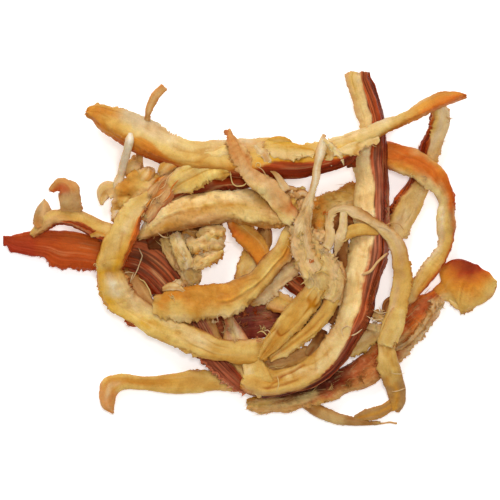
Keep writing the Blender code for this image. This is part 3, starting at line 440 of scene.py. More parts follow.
    Strip("tail_strip", 3.6, 0, [(-34.3, -41, 1.3, 0.8), (-35.4, -38.8, 1.4, 3.4), (-35.7, -36.3, 1.5, 4.4),
        (-34.6, -34, 1.5, 4.8), (-31.3, -33, 1.5, 3.6), (-26.3, -33.4, 1.5, 3.6), (-20, -33.5, 1.5, 5),
        (-13.8, -33, 1.5, 5.7), (-8.8, -32.8, 1.5, 5), (-1.3, -34, 1.4, 3.2)],
        {0: "salmon salmon peach salmon tan", 1: "tan salmon salmon salmon tan",
         2: "salmon salmon peach salmon salmon", 3: "straw amber peach ochre tan", 4: "straw ochre amber straw straw",
         6: "honey ochre ochre honey straw", 8: "straw straw straw honey straw", 9: "tan straw cream straw tan"},
        rag=(0.1, 0.08), rough=0.7, fibre=0.6),
    Strip("wide_skin_strip", 3.4, 0, [(-61.8, 3, 1.5, 0.8), (-59, 2, 1.5, 3.8), (-55, 1.7, 1.5, 6),
        (-50.5, 1.3, 1.5, 7.2), (-47, 0.3, 1.5, 9.2), (-42.5, -0.1, 1.5, 8.8), (-38, -0.8, 1.5, 8.8),
        (-32.5, -0.9, 1.5, 9.8), (-27.5, -1.8, 1.6, 10.4), (-23, -4.9, 1.7, 10.4), (-18.8, -10, 1.9, 9.6),
        (-14.6, -17, 2.4, 8.8), (-10.6, -23.8, 3, 8), (-6.2, -28.7, 3.6, 7.2), (-2.6, -32.4, 3.8, 6.2),
        (-0.4, -34.8, 3.6, 2.4)],
        {0: "rust rust rust rust rust", 8: "copper tan tan tan tan", 15: "straw straw honey honey tan"},
        skin="right", share={0: 1.2, 9: 1.2, 11: 0.85, 12: 0.76, 13: 0.66, 15: 0.6}, skin_tones={0: "cherry cherry",
        1: "rust cherry", 2: "rust cherry", 3: "rust rust", 6: "orange rust", 7: "rust rust", 8: "copper skin",
        10: "copper skin", 12: "shell copper", 13: "skin rose", 15: "rust rose"}, rag=(0.12, 0.4), ridges=0.8,
        comb={0: 0.12, 6: 0.22, 7: 0.7, 8: 1, 12: 1, 15: 0.7}),
    Strip("brown_under_strip", 3.6, 0, [(3.5, 5.4, 4.4, 3.4), (3.1, 2, 3.2, 5), (1.1, -1.6, 2.6, 6),
        (-0.7, -4.8, 2.8, 5.2), (-1.8, -8, 4.4, 3.8)],
        {0: "brown tan brown umber brown", 2: "honey cream straw honey honey", 3: "cream custard straw cream honey",
         4: "brown honey tan honey brown"},
        rag=(0.15, 0.15)),
    Strip("rough_strip", 4, 0, [(29.5, 15, 3, 4.6), (26.5, 14, 3.2, 5.6), (23.3, 12.8, 3.6, 5.6),
        (20, 11.6, 4.2, 5.4), (17, 9.8, 5.2, 6), (15.5, 7, 6.6, 6.6), (15.6, 3.6, 8.4, 6)],
        {0: "ochre honey honey ochre brown", 2: "straw custard straw honey amber",
         3: "straw custard straw honey honey", 4: "honey honey amber toast amber",
         6: "ochre toast brown toast brown"},
        rag=(0.1, 0.3), rough=1.2, speckle=0.45, pits=1.2, fuzz=20),
    # The maroon along its upper left edge, stations 2 to 5, is painted shadow.
    Strip("long_floor_strip", 4.2, 0, [(-0.5, -38.9, 1.7, 3.2), (3, -38.5, 1.7, 4.7), (7.5, -38.1, 1.8, 5),
        (12.5, -37, 1.8, 5.6), (17.5, -35.2, 1.8, 6.2), (22.5, -33.3, 1.8, 6.4), (27, -31.5, 1.8, 7),
        (31.2, -28.8, 1.8, 7), (34.8, -25.6, 1.8, 7), (38.3, -22.1, 1.8, 7), (41.5, -18.2, 1.8, 7.4),
        (44.4, -14.4, 1.8, 7.2), (47.2, -11.8, 1.8, 4.2)],
        {0: "bone tan straw tan tan", 1: "bone tan straw tan tan", 2: "maroon umber brown tan tan",
         3: "maroon maroon umber tan tan", 4: "maroon maroon maroon copper honey", 5: "maroon maroon skin brown tan",
         6: "skin copper copper salmon tan", 7: "brown copper salmon copper tan", 8: "brown rust copper copper tan",
         9: "salmon rust orange tan pale", 10: "copper rust orange salmon pale", 11: "orange copper rust salmon pale",
         12: "orange rust tan pale pale"},
        rag=(0.24, 0.3), fibre=2.2, rough=1.3, speckle=0.6, fuzz=200),
    Strip("flared_end", 3.4, 0, [(46.5, -11.25, 1.7, 3.5), (49, -10.38, 1.6, 6), (50.75, -9.5, 1.8, 12.5),
        (53, -9.1, 1.8, 13.6), (55.6, -8.9, 2, 11.6), (58, -8.9, 2.2, 9.2), (60.3, -8.6, 2.4, 6.2),
        (61.8, -8.4, 2.4, 1.6)],
        {0: "orange amber amber pale pale", 1: "amber amber amber straw cream", 2: "rust toast amber honey straw",
         3: "skin rust toast honey straw", 4: "skin cherry toast amber straw", 5: "cherry orange toast honey straw",
         6: "orange amber honey straw tan", 7: "honey straw straw straw tan"},
        rag=(0.12, 0.22), fibre=0.5, rough=0.8, folds=((2.2, 0.8, 3, 0.42, -0.3), (2.4, 0.86, 3.3, 0.46, 0.3),
        (3.5, 0.8, 3.9, 0.48, -0.25), (3.7, 0.82, 4.2, 0.5, 0.22), (4.8, 0.8, 5.3, 0.5, -0.15))),
    # Painted shade: a dark strip that fills the shade under the pale arc's lower edge.
    Strip("dark_under_strip", 2.4, 0, [(-25.6, 1.8, 3.4, 3.4), (-21, 3.4, 3.6, 5), (-16.5, 5.4, 4, 3.8),
        (-11.5, 6, 4.6, 3.4), (-7, 6.4, 5.4, 2.4)],
        {0: "umber skin umber umber umber", 4: "brown brown umber brown brown"},
        rag=(0.3, 0.3)),
    Strip("loop_inner_wall", 2.4, 0, [(-31.6, -5.2, 4, 2.6), (-29.2, -8.5, 3.4, 4.4), (-26.8, -12, 3.6, 4.2),
        (-24, -14.8, 4.2, 2.6)],
        {0: "brown brown tan brown umber", 3: "brown tan brown tan brown"},
        piece="floor_scraps"),
    Strip("shadow_strip", 2.6, 0, [(23.2, 2.4, 5.2, 3.4), (22.9, -3, 4.8, 4.4), (22.6, -8, 4.6, 4.6),
        (22.2, -12, 4.4, 3.8), (20.9, -15.8, 4.6, 2.8), (19.6, -18, 5, 2.2)],
        {0: "brown brown brown umber umber", 5: "umber brown umber umber umber"},
        rag=(0.3, 0.3), rough=1.4, piece="floor_scraps"),
    Strip("split_backing", 2.2, 0, [(19, -12.2, 6, 3), (15.6, -17, 5.6, 3.4), (11.6, -20.8, 5.2, 3)],
        {0: "umber skin umber umber umber"},
        piece="floor_scraps"),
    # Its dark tones are partly the rough strip's crumbly underside and partly painted shade under it.
    Strip("rough_lower", 3.2, 0, [(19, 8.75, 3.8, 4.5), (22.3, 7, 5.6, 6), (26, 5, 5.2, 5)],
        {0: "brown umber brown brown umber", 2: "skin brown umber brown umber"},
        rag=(0.4, 0.4), rough=1.8, speckle=0.6, piece="floor_scraps"),
    Strip("folded_tail", 2.2, 0, [(36, -38.4, 1.4, 2.8), (33.3, -40.3, 0.9, 3.1), (29.5, -41.4, 0.9, 2.8),
        (26.3, -42.3, 0.9, 1.6)],
        {0: "ochre dun ochre dun ochre", 3: "ochre dun ochre dun dun"},
        rag=(0.1, 0.12), piece="bottom_strand"),
    Strip("bottom_strand", 2.2, 0, [(13.5, -38, 1, 2.8), (17, -40.3, 0.9, 3.1), (21, -41.9, 0.9, 2.9),
        (25, -42.8, 0.9, 2.4), (29, -43.4, 0.8, 1.4), (32.5, -43.4, 0.6, 0.6)],
        {0: "dun ochre dun brown dun", 2: "dun brown dun dun dun", 5: "dun dun dun dun dun"},
        rag=(0.1, 0.1)),
    Strip("side_strip", 2.8, 0, [(24.6, -25.6, 4, 2.8), (28, -23.4, 2.2, 3.6), (30.8, -21.7, 2.8, 4.2),
        (33.8, -20, 5.2, 4.2)],
        {0: "tan custard straw custard straw", 3: "tan custard peach straw straw"},
        rag=(0.25, 0.3), rough=1.4, piece="side_frays"),
    Strip("side_fray_upper", 1.2, 0, [(29.8, -14.8, 5.4, 2), (32.2, -16.8, 5.2, 2.4), (35, -18, 5.6, 2)],
        {0: "tan cream tan cream tan"},
        rag=(0.3, 0.3), fibre=2, piece="side_frays"),
    Strip("side_fray_lower", 1.2, 0, [(28.2, -18.6, 5.2, 1.4), (31.3, -19.6, 5, 1.9), (34.2, -20.4, 5.4, 1.6)],
        {0: "tan cream tan pale tan"},
        rag=(0.3, 0.3), fibre=2, piece="side_frays"),
    Strip("dark_curl", 1.4, 0, [(36, -12, 5.8, 1.4), (34.3, -13, 5.4, 1.8), (33.8, -15, 5.2, 1.7),
        (35.4, -16.6, 5.6, 1.6)],
        {0: "umber brown umber brown umber"},
        rag=(0.12, 0.12), piece="side_frays"),
    Strip("maroon_strip", 2.6, 0, [(-11.3, -20, 1.2, 6), (-6.3, -18.8, 1.2, 9), (-1.3, -17.6, 1.2, 10),
        (3.8, -17, 1.2, 10), (8.3, -15.8, 1.2, 7.2), (10.8, -13.6, 1.2, 4)],
        {0: "maroon skin brown maroon maroon", 1: "maroon skin maroon maroon maroon"},
        skin="right", share={0: 1.2}, skin_tones={0: "brown copper", 1: "wine copper", 2: "plum wine", 3: "rose wine",
        4: "wine maroon"}, rag=(0.3, 0.3), ridges=0.5, rough=2.2, comb={0: 0.4}, fuzz=60),
    Strip("pale_ribbon", 1.6, 0, [(-6.25, -15.25, 3.2, 1.75), (-5.25, -17.75, 3.5, 3), (-4.25, -20.75, 3.8, 4.75),
        (-3.25, -24, 4, 6.5)],
        {0: "copper pale tan rose copper", 2: "rose pale cream rose tan", 3: "tan custard straw pale tan"},
        rag=(0.5, 0.5), fibre=2.4, groove=1, fuzz=40, piece="floor_scraps"),
    Strip("tan_strip", 2.8, 0, [(13.2, -1.8, 8.8, 2.8), (10.25, -4.75, 6.8, 3.75), (7.25, -7.5, 5.6, 4.25),
        (4.25, -10, 4.6, 4.5), (2, -12, 4, 3.5), (0.25, -13.5, 3.6, 2)],
        {0: "custard pale custard peach toast", 2: "custard peach custard pale brown",
         3: "pale custard peach pale brown", 5: "custard pale tan peach tan"},
        rag=(0.35, 0.35), rough=1.8, fibre=2.2, groove=0.6, fuzz=40),
    Strip("ribbed_scrap", 2.6, 0, [(7.6, -5.2, 4.8, 3.6), (10.6, -7.7, 3, 4.6), (13.1, -9.9, 3.4, 4.4),
        (15.8, -12.4, 6.6, 3.6)],
        {0: "rust rust skin rust umber", 3: "skin rust rust skin umber"},
        skin="left", share={0: 1.2}, skin_tones={0: "rust copper rust"}, piece="tan_strip"),
    Strip("shadowed_slab", 2.4, 0, [(2.6, -28.8, 3.4, 4), (7, -28.2, 2.8, 5.2), (10.8, -27.3, 2.8, 5),
        (14.6, -25.8, 3, 3.4)],
        {0: "tan tan brown tan brown", 3: "tan tan tan honey brown"},
        rag=(0.15, 0.15), piece="floor_scraps"),
    Strip("shadowed_scrap", 2.4, 0, [(14.6, -26.4, 2.8, 2.8), (16.5, -23.6, 3.2, 2.8), (18.2, -20.6, 5.2, 3.2)],
        {0: "tan tan brown tan tan", 2: "brown umber brown umber umber"},
        rag=(0.15, 0.15), piece="floor_scraps"),
    Strip("lobe_frill", 1.2, 0, [(50.25, -12.5, 2, 1.5), (51.5, -13.5, 2.3, 2.25), (53.5, -13.75, 2.5, 2.5),
        (55.75, -13, 2.5, 2.25), (57.75, -11.75, 2.3, 1.5)],
        {0: "straw straw custard straw tan", 2: "straw custard straw straw tan", 4: "straw straw straw straw tan"},
        rag=(0.3, 0.4), rough=1.6, fibre=1.4, piece="ragged_rim"),
    Strip("ragged_rim", 1.5, 0, [(36, -25.25, 3.2, 1.25), (38.75, -23.75, 3.6, 1.5), (41.75, -21, 3.8, 1.5),
        (44.25, -17.5, 4, 1.5), (46, -14.5, 4.2, 2), (45.5, -12.5, 4.4, 1.25)],
        {0: "tan bone dun tan dun", 3: "dun tan bone tan dun", 5: "bone dun tan dun bone"},
        rag=(0.25, 0.25), rough=2.4, pits=3, speckle=0.6),
    Strip("small_flap", 0.9, 0, [(-39.5, 3.5, 6.8, 1), (-38, 4, 7.8, 1.5), (-36.25, 3.5, 8.3, 1)],
        {0: "honey ochre honey tan honey"},
        rag=(0.1, 0.15), piece="small_scraps"),
    Strip("pink_scrap_a", 1.2, 0, [(8.75, 14.75, 10.2, 1.5), (10, 15.25, 10.6, 1.75), (11.5, 15, 10.4, 1.25)],
        {0: "brown peach tan brown brown"},
        rag=(0.08, 0.1), piece="small_scraps"),
    Strip("pink_scrap_b", 1.4, 0, [(11.5, 13.25, 10.4, 1.75), (13, 14.25, 10.8, 2), (14.75, 13.25, 10.6, 1.5)],
        {0: "brown peach pale tan brown"},
        rag=(0.08, 0.1), piece="small_scraps"),
    Strip("red_nub", 1.4, 0, [(-31, -17.5, 2.6, 1.25), (-29.75, -18.25, 2.5, 2), (-28.25, -18.25, 2.3, 1.25)],
        {0: "rust peach copper rust rust"},
        rag=(0.3, 0.3), rough=2.6, pits=2, piece="small_scraps"),
    Strip("rim_lump", 1.5, 0, [(-21.75, -9.75, 7.4, 1.5), (-20, -9.25, 8, 2.25), (-18, -9.5, 8.5, 2),
        (-16, -10.5, 8.8, 1)],
        {0: "tan custard tan pale straw"},
        rag=(0.4, 0.4), rough=2.6, fibre=1.4, pits=1.5, piece="small_scraps"),
    Strip("torn_slab_a", 2.2, 0, [(-18.75, 4, 6.6, 2.5), (-17.5, 1.25, 7.6, 3.75), (-16.5, -1.5, 7.6, 4),
        (-15.5, -4.5, 7, 3)],
        {0: "custard ivory custard cream pale", 2: "pale custard ivory custard cream"},
        rag=(0.5, 0.45), rough=1.6, fibre=1.8, pits=1.2, warm=0.4, fuzz=40, piece="torn_slabs"),
    Strip("string_foot", 1.4, 0, [(15.5, 13.5, 12.3, 1.25), (14.25, 10.25, 12.9, 2.75), (13, 7, 13, 3.75),
        (12.5, 3.5, 12.8, 4.75), (13, 0, 12.6, 5.5), (14.5, -3, 12.2, 6), (16.25, -5.5, 11.6, 5.5)],
        {0: "pale peach pale tan pale", 2: "tan pale custard pale peach", 4: "peach pale custard peach pale",
         6: "straw custard peach straw custard"},
        rag=(0.45, 0.45), rough=0.9, fibre=0.8, pits=0, warm=0.5, fuzz=120, piece="flesh_flaps"),
    Strip("sheet_flap_b", 1.4, 0, [(20, -3, 10, 2.25), (21.25, -6.25, 10, 3.75), (21.25, -9.5, 9.8, 4),
        (20, -12.5, 9.4, 2.75)],
        {0: "tan custard pale straw tan", 3: "custard tan straw pale tan"},
        rag=(0.4, 0.4), rough=1.4, fibre=1.6, warm=0.5, fuzz=40, piece="flesh_flaps"),
    Strip("red_hole", 0.8, 0, [(15.75, -2.5, 11.75, 0.75), (16.5, -2.25, 11.9, 1), (17.5, -2, 11.85, 0.75)],
        {0: "rust orange rust skin rust"},
        rough=1.5, piece="small_scraps"),
    Strip("yellow_bump", 1.8, 0, [(4, 26.75, 11, 1.25), (6, 27.25, 11.2, 2), (8.25, 27.25, 11.1, 2),
        (10.25, 26.75, 10.8, 1)],
        {0: "golden golden straw golden straw"},
        rag=(0.1, 0.1), fibre=0.8, piece="long_strip"),
    Strip("knuckle_f", 3.2, 0, [(-22.25, 19.25, 9.6, 1.75), (-20.75, 20.75, 10.8, 3.5), (-19, 21.75, 11, 3),
        (-17.5, 22.25, 10.6, 1.5)],
        {0: "honey amber honey peach tan", 2: "peach honey custard amber tan"},
        rough=1.2, fibre=0.2, groove=-0.2, warm=0.3, piece="knuckles"),
    Strip("pale_knot", 0.9, 0, [(1.5, 26, 13.3, 1.25), (2.5, 25, 13.9, 2.5), (3.75, 23.75, 14.7, 2.75),
        (4.5, 22, 15.5, 1.5)],
        {0: "pale custard ivory pale custard"},
        rag=(0.6, 0.6), rough=2.4, fibre=2, pits=2, piece="small_scraps"),
    Strip("flap_shred_a", 0.7, 0, [(20.25, 25.25, 14.8, 1.25), (22, 24, 14.8, 1.5), (23, 22.5, 14.4, 1),
        (23.25, 21.25, 14, 0.5)],
        {0: "custard pale cream custard pale"},
        rag=(0.4, 0.4), rough=1.4, fibre=1.6, piece="hanging_strings"),
    Strip("flap_shred_b", 0.7, 0, [(19, 26, 14.8, 1.25), (19.75, 24, 14.9, 1.5), (20, 22.25, 14.4, 1),
        (20.25, 21, 14, 0.5)],
        {0: "pale ivory pale cream pale"},
        rag=(0.4, 0.4), rough=1.4, fibre=1.6, piece="hanging_strings"),
    Strip("web_overlap", 1.2, 0, [(37.25, -14.5, 8.7, 3), (36.5, -17.25, 8.5, 4.75), (35.5, -20, 8.3, 5),
        (34.5, -22.5, 8, 5), (34, -24, 7.5, 4.5)],
        {0: "straw cream straw straw tan", 3: "straw cream straw cream straw"},
        rag=(0.12, 0.12), rough=0.9, fibre=0.7, piece="web_legs"),
    Strip("strand_tip", 0.5, 0, [(31, -43.5, 0.6, 0.85), (33.25, -43.5, 0.5, 0.65), (35, -43.25, 0.4, 0.5),
        (36.75, -43.5, 0.35, 0.3)],
        {0: "dun tan dun tan dun"},
        rag=(0.02, 0.02), piece="bottom_strand"),
    Strip("chunk_a", 3, 0, [(-13, 3, 7.6, 2), (-11.25, 3.75, 8.6, 3.75), (-9.25, 4.5, 8.8, 4.25),
        (-7.25, 4.75, 8.2, 3), (-6.25, 4.5, 7.6, 1.25)],
        {0: "peach straw custard butter honey", 2: "custard peach butter straw amber"},
        rag=(0.36, 0.36), rough=3, fibre=1.6, pits=3, warm=0.4, fuzz=30, piece="torn_slabs"),
    Strip("chunk_b", 3, 0, [(-15, 0.75, 6.8, 2), (-13, 1.25, 8, 3.5), (-10.75, 1.5, 8.4, 4),
        (-8.5, 1.25, 7.8, 3.5), (-6.75, 0.75, 7, 1.5)],
        {0: "peach straw custard butter honey", 2: "custard peach butter straw amber"},
        rag=(0.36, 0.36), rough=3, fibre=1.6, pits=3, warm=0.4, fuzz=30, piece="torn_slabs"),
    Strip("chunk_c", 2.8, 0, [(-14.25, -4, 6, 2.25), (-12.5, -2.75, 7, 3.75), (-10.5, -1.5, 7.4, 4),
        (-8.5, -0.5, 7.2, 3), (-7.25, 0.25, 6.8, 1.5)],
        {0: "peach straw custard butter honey", 2: "custard peach butter straw amber"},
        rag=(0.36, 0.36), rough=3, fibre=1.6, pits=3, warm=0.4, fuzz=30, piece="torn_slabs"),
    Strip("chunk_shadow", 1.2, 0, [(-13.5, -0.75, 8, 1), (-12, -0.5, 8.4, 1.5), (-10.25, -0.25, 8.2, 1)],
        {0: "brown amber toast amber brown"},
        rough=1.4, piece="small_scraps"),
    Strip("tan_flap", 1.6, 0, [(2.75, -11.5, 3.6, 2), (4.75, -12, 4.2, 4.5), (7, -12.75, 4.6, 5.5),
        (9.25, -13.75, 4.8, 4.25), (11.5, -14.75, 4.6, 2)],
        {0: "tan honey amber tan brown", 2: "peach honey straw tan amber"},
        rag=(0.4, 0.4), rough=1.6, fibre=2.4, groove=0.8, piece="floor_scraps"),
    Strip("knuckle_b", 3.2, 0, [(-28, 16.25, 6.6, 2.25), (-26.75, 17.75, 7.3, 3.25), (-25.75, 19, 7.6, 3.25),
        (-25.25, 20.25, 7.2, 2)],
        {0: "honey amber straw honey tan", 2: "peach honey custard amber tan"},
        rag=(0.3, 0.3), rough=2.4, fibre=0.2, groove=-0.3, warm=0.3, piece="knuckles"),
    Strip("fringe_a", 0.8, -28, [(4, 25, 14.3, 2), (6.5, 24.75, 14.2, 3), (9, 24.5, 13.95, 3),
        (11.5, 24.5, 13.7, 2.75), (13.5, 24.25, 13.45, 2.75), (15.75, 24.25, 13.4, 2)],
        {0: "straw straw cream custard custard", 3: "golden straw cream custard cream"},
        rag=(0.15, 1.9), rough=0.9, fibre=1.4, warm=0.3, piece="long_strip"),
    Strip("knuckle_a", 3.4, 0, [(-29.5, 17.5, 4.8, 3), (-29.5, 19.5, 5.8, 3.75), (-29, 21.25, 6.2, 3.75),
        (-28, 22.75, 5.8, 2.5)],
        {0: "tan peach honey peach tan", 2: "peach honey custard peach tan"},
        rag=(0.3, 0.3), rough=2.4, fibre=0.2, groove=-0.3, warm=0.3, piece="knuckles"),
    Strip("fringe_b", 0.8, -25, [(21.75, 24.25, 14.4, 2), (24, 24.75, 14.3, 2.5), (26, 25.5, 14, 2.75),
        (28, 26.25, 13.5, 2.5), (29.75, 27.25, 13.2, 2), (31.75, 28, 12.9, 1)],
        {0: "custard cream custard cream custard"},
        rag=(0.15, 0.9), rough=0.9, fibre=1.4, warm=0.3, piece="long_strip"),
    Strip("knuckle_c", 4.2, 0, [(-33.25, 6.5, 3, 2), (-32.75, 9, 4, 3.5), (-31.5, 11.25, 5, 6),
        (-29.75, 13.75, 6, 8), (-27.75, 15.75, 6.7, 8.5), (-25.5, 17.5, 7, 7), (-23.75, 18.5, 7, 3.5)],
        {0: "honey amber honey peach tan", 2: "peach honey straw amber tan", 3: "honey amber honey peach honey",
         5: "amber honey straw peach tan"},
        rag=(0.3, 0.3), rough=3, fibre=0.3, groove=-0.3, warm=0.3, pits=1.4, piece="knuckles"),
    Strip("corner_leg", 1.6, 0, [(0.25, -26.5, 6.2, 5), (1, -29, 6.3, 5.75), (2, -31.75, 6.3, 6),
        (3, -34, 6.2, 5.75), (4, -35.75, 6, 4.75)],
        {0: "straw honey straw straw custard", 2: "honey straw straw custard straw"},
        rag=(0.15, 0.1), fibre=0.8, warm=0.4, piece="loop_tail"),
    Strip("mass_bed_a", 1.4, 0, [(-16.75, 4.5, 5.4, 2.5), (-15, 3.75, 5.2, 3.25), (-13, 3.25, 5.2, 3),
        (-11, 3.25, 5.4, 2)],
        {0: "brown tan amber tan brown", 2: "amber tan honey brown amber"},
        rag=(0.25, 0.25), rough=1.8, pits=1.4, piece="torn_slabs"),
    Strip("mass_bed_b", 1.4, 0, [(-21.75, 3, 5, 2.25), (-20.75, 0.75, 5, 3.25), (-19, -1.75, 4.4, 3.5),
        (-17, -4, 4, 4), (-15.25, -6.25, 3.6, 4.25), (-14, -8.5, 3.2, 3.25)],
        {0: "tan straw dun straw tan", 2: "dun straw tan custard dun", 4: "tan straw straw custard tan"},
        rag=(0.3, 0.3), rough=1.6, fibre=2, pits=1.2, fuzz=40, piece="torn_slabs"),
]

# A lump is (x, y, z, radius): the middle of a cluster of torn crumbs.
CRUMB_CLUSTERS = [
    (-29.3, 20.2, 3.6, 2.2), (-29, 22.4, 4.6, 1.2), (-29.3, 16.4, 2.8, 2.4), (-25.8, 18.3, 4, 2.6),
    (-27, 15.6, 4.4, 3), (-23.4, 16.8, 6.2, 2.6), (-31, 13.2, 3.4, 2.6), (-32.4, 11, 2.4, 2.2),
    (-33.4, 8.2, 2.2, 1.8), (-28.6, 11.6, 4.8, 3), (-20.4, 20, 8, 2.8), (-21, 16.4, 7.6, 2.8), (-17.1, 1.6, 4.2, 3.6),
    (-16.6, -2.2, 3.6, 3.3), (-12.6, 1.6, 4.6, 2.6), (-9.6, 2.9, 4.8, 3), (-8.2, 4.6, 5.4, 2), (-9.2, -0.2, 4.2, 2.7),
    (-10.7, -1.8, 3.2, 2.3), (-13.4, -1.5, 3.4, 2.5), (-14.4, -4.4, 2.4, 2.5), (-14.2, -6.9, 2, 2.3),
    (-16.4, -8.2, 2.2, 2.2), (9.6, 14, 9.6, 2.4), (12, 13.6, 9.6, 2.3), (10.2, 11, 10.4, 2.8), (13.2, 11.2, 9, 2.4),
    (17, 3.4, 10.8, 2), (-18.2, -9.2, 3.6, 2.2),
]

# A thread is (thickness, colour, lift over the heap, places along it).
THREADS = [
    (0.32, "cream", 0.15, [(-5, 19.5), (-4.5, 17), (-3.5, 16), (-1.75, 16), (-0.75, 16.75)]),
    (0.26, "cream", 0.2, [(1.25, 20.5), (1.75, 21.75), (2.75, 21.25), (2.25, 20.25)]),
    (0.3, "pale", 0.2, [(-28, 0.5), (-27, -1.25), (-27.5, -3), (-28.25, -5), (-29.5, -7.5)]),
    (0.22, "pale", 0.25, [(-31.5, -5.75), (-30.25, -5.5), (-29, -5.75)]),
    (0.26, "pale", 0.25, [(-29, -5.5), (-29.5, -6.5), (-30, -8.25)]),
    (0.34, "cream", 0.15, [(-28, -7), (-26, -8.5), (-24.5, -11.75)]),
    (0.26, "pale", 0.2, [(-23, 4.25), (-21.5, 3.25), (-20, 3)]),
    (0.7, "peach", 0.2, [(27.75, -6.25), (30, -5.25), (31.75, -3), (34.25, -0.75)]),
    (0.3, "pale", 0.15, [(24.5, -21.5), (26.25, -21), (28, -19.75)]),
    (0.3, "pale", 0.15, [(10.5, 2.5), (10.75, 1), (12, 0)]),
    (0.26, "cream", 0.15, [(12.5, -8.75), (13.75, -7.75), (14.5, -6.75)]),
    (0.24, "cream", 0.2, [(21.5, 2.75), (23, 2), (24.5, 3)]),
    (0.26, "tan", 0.15, [(33.75, 6.25), (35.5, 6.75), (37.25, 6.25), (38.5, 4.75)]),
    (0.3, "pale", 0.15, [(30.5, -14.75), (32.25, -15.75), (34.5, -15.5)]),
    (0.3, "pale", 0.1, [(29, -16.5), (31.5, -17.5), (33.5, -17)]),
    (0.28, "pale", 0.1, [(3, -20.5), (4.5, -20), (5.25, -21)]),
    (0.24, "cream", 0.1, [(1.75, -20.75), (3, -20.25), (4.5, -21.5)]),
    (0.24, "pale", 0.15, [(-7.75, -18), (-8.25, -16.5), (-7.25, -15.75)]),
    (0.28, "cream", 0.1, [(6.75, -31.25), (7.25, -33.5), (6.5, -35.5)]),
    (0.22, "cream", 0.1, [(5, -29), (7.5, -29.5), (9.5, -28.5)]),
    (0.3, "straw", 0.1, [(16, -6), (18, -5.25), (20, -6.5)]),
    (0.24, "straw", 0.1, [(13.25, 1), (14, -1.25), (13.5, -3)]),
    (0.22, "peach", 0.1, [(1.5, 21), (3.25, 19.75), (4.5, 17.75)]),
    (0.24, "pale", 0.12, [(31.5, 6), (33.5, 5.5), (35.25, 4.25)]),
    (0.22, "rust", 0.15, [(25.5, -19.5), (25, -21.75), (24, -22.75)]),
    (0.24, "pale", 0.05, [(35.25, -30.75), (37, -31), (38.75, -30.75)]),
    (0.24, "pale", 0.05, [(35.5, -35.5), (37.25, -35.25), (39, -34.5)]),
    (0.3, "pale", 0.2, [(23.25, -21.5), (22.75, -20), (24, -19), (25.5, -19.5)]),
    (0.26, "cream", 0.15, [(18.5, 1), (20, -0.5), (20.75, -2.5)]),
    (0.24, "cream", 0.15, [(17, 0.75), (18.75, -1.5), (19.5, -4)]),
    (0.26, "cream", 0.15, [(13.75, -4.5), (15.5, -6.5), (16.5, -9)]),
    (0.24, "peach", 0.15, [(-19, 19.5), (-20.5, 18), (-21.25, 16), (-22.75, 15)]),
    (0.2, "tan", 0.15, [(-20.5, 18), (-22.5, 16.5), (-23.25, 14.5), (-25, 13.25)]),
    (0.24, "orange", 0.2, [(-17.75, 17.5), (-19.5, 15.5), (-20, 13.5), (-21.75, 11.75)]),
    (0.2, "peach", 0.15, [(-18.25, 15.5), (-19.75, 14.5), (-21, 12.5), (-22.5, 11.75)]),
    (0.2, "custard", 0.15, [(-21, 15), (-22.5, 13.5), (-24, 12.75), (-25, 10.75)]),
]

# A tuft is (x, y, number of fibres, reach, colour).
TUFTS = [
    (49.75, 33, 10, 0.9, "tan"), (-24.75, 13.25, 20, 1, "tan"), (-23, 11.75, 18, 1.2, "peach"),
    (-26, 10.75, 14, 0.9, "peach"), (-26.25, 8.25, 12, 1, "cream"), (-29.75, -18.5, 16, 0.8, "copper"),
    (-38.5, -4, 8, 0.7, "cream"), (-36.5, -3.75, 6, 0.6, "straw"), (17, 10.5, 16, 0.9, "honey"),
    (18.75, 9.5, 16, 0.9, "orange"), (12.75, 1.75, 14, 1.2, "cream"), (17, 5, 16, 1.4, "cream"),
    (15.5, -3, 10, 0.9, "orange"), (18, 0, 14, 1.2, "pale"), (15, -6.25, 14, 1.2, "pale"), (11.5, -3, 10, 1, "straw"),
    (31, -18, 18, 1.3, "pale"), (33, -15.5, 14, 1.2, "peach"), (-9, -17.75, 10, 0.9, "pale"),
    (3, -20, 12, 1, "cream"), (-1, -15.75, 14, 1.1, "copper"), (1.5, -15.5, 14, 1.1, "rust"),
    (4.5, -17, 12, 1, "copper"), (12.5, 3.5, 12, 1.2, "straw"), (43.75, 18.25, 10, 0.9, "peach"),
    (40, 18.5, 10, 0.9, "cream"), (47.75, -13.75, 16, 0.9, "tan"), (42.5, -18.75, 14, 0.9, "tan"),
    (36.25, -23.75, 12, 0.9, "brown"), (27.5, -32, 18, 1.2, "brown"), (24.5, -33.5, 18, 1.2, "brown"),
    (20, -34.5, 14, 1.1, "tan"), (31.25, -28.75, 12, 1, "copper"), (-12.5, -1.25, 14, 1, "pale"),
    (-10, 0.5, 12, 1, "peach"), (-14.5, 0.5, 12, 1, "cream"), (-16.5, -3, 12, 1, "cream"),
    (-19.5, -11.75, 10, 0.9, "cream"), (-6.25, 1, 8, 0.8, "peach"), (-11.75, 0, 8, 0.8, "pale"),
    (-1.25, -18.75, 10, 1, "copper"), (-3, -17, 10, 1, "rose"), (2, -22.5, 8, 0.9, "rose"),
    (-5.5, -20, 14, 1.2, "pale"), (-3.5, -22.5, 14, 1.2, "peach"),
]


def linear(colour):
    """Light in linear units from a 0 to 255 display colour: the sRGB display curve undone."""
    share = np.asarray(colour, dtype=float) / 255
    return np.where(share <= 0.04045, share / 12.92, ((share + 0.055) / 1.055) ** 2.4)


INKS = {word: linear(colour) for word, colour in PALETTE.items()}


def smooth(low, high, value):
    """0 below low, 1 above high, and an S curve between."""
    part = np.clip((value - low) / (high - low), 0.0, 1.0)
    return part * part * (3 - 2 * part)


def stacked(*parts):
    """Arrays widened to one shape and joined as the last axis."""
    return np.stack(np.broadcast_arrays(*parts), -1)


def shaded(tone, amount, tint):
    """Colours with each channel scaled by 1 + amount x tint."""
    return tone * (1 + amount[..., None] * tint)


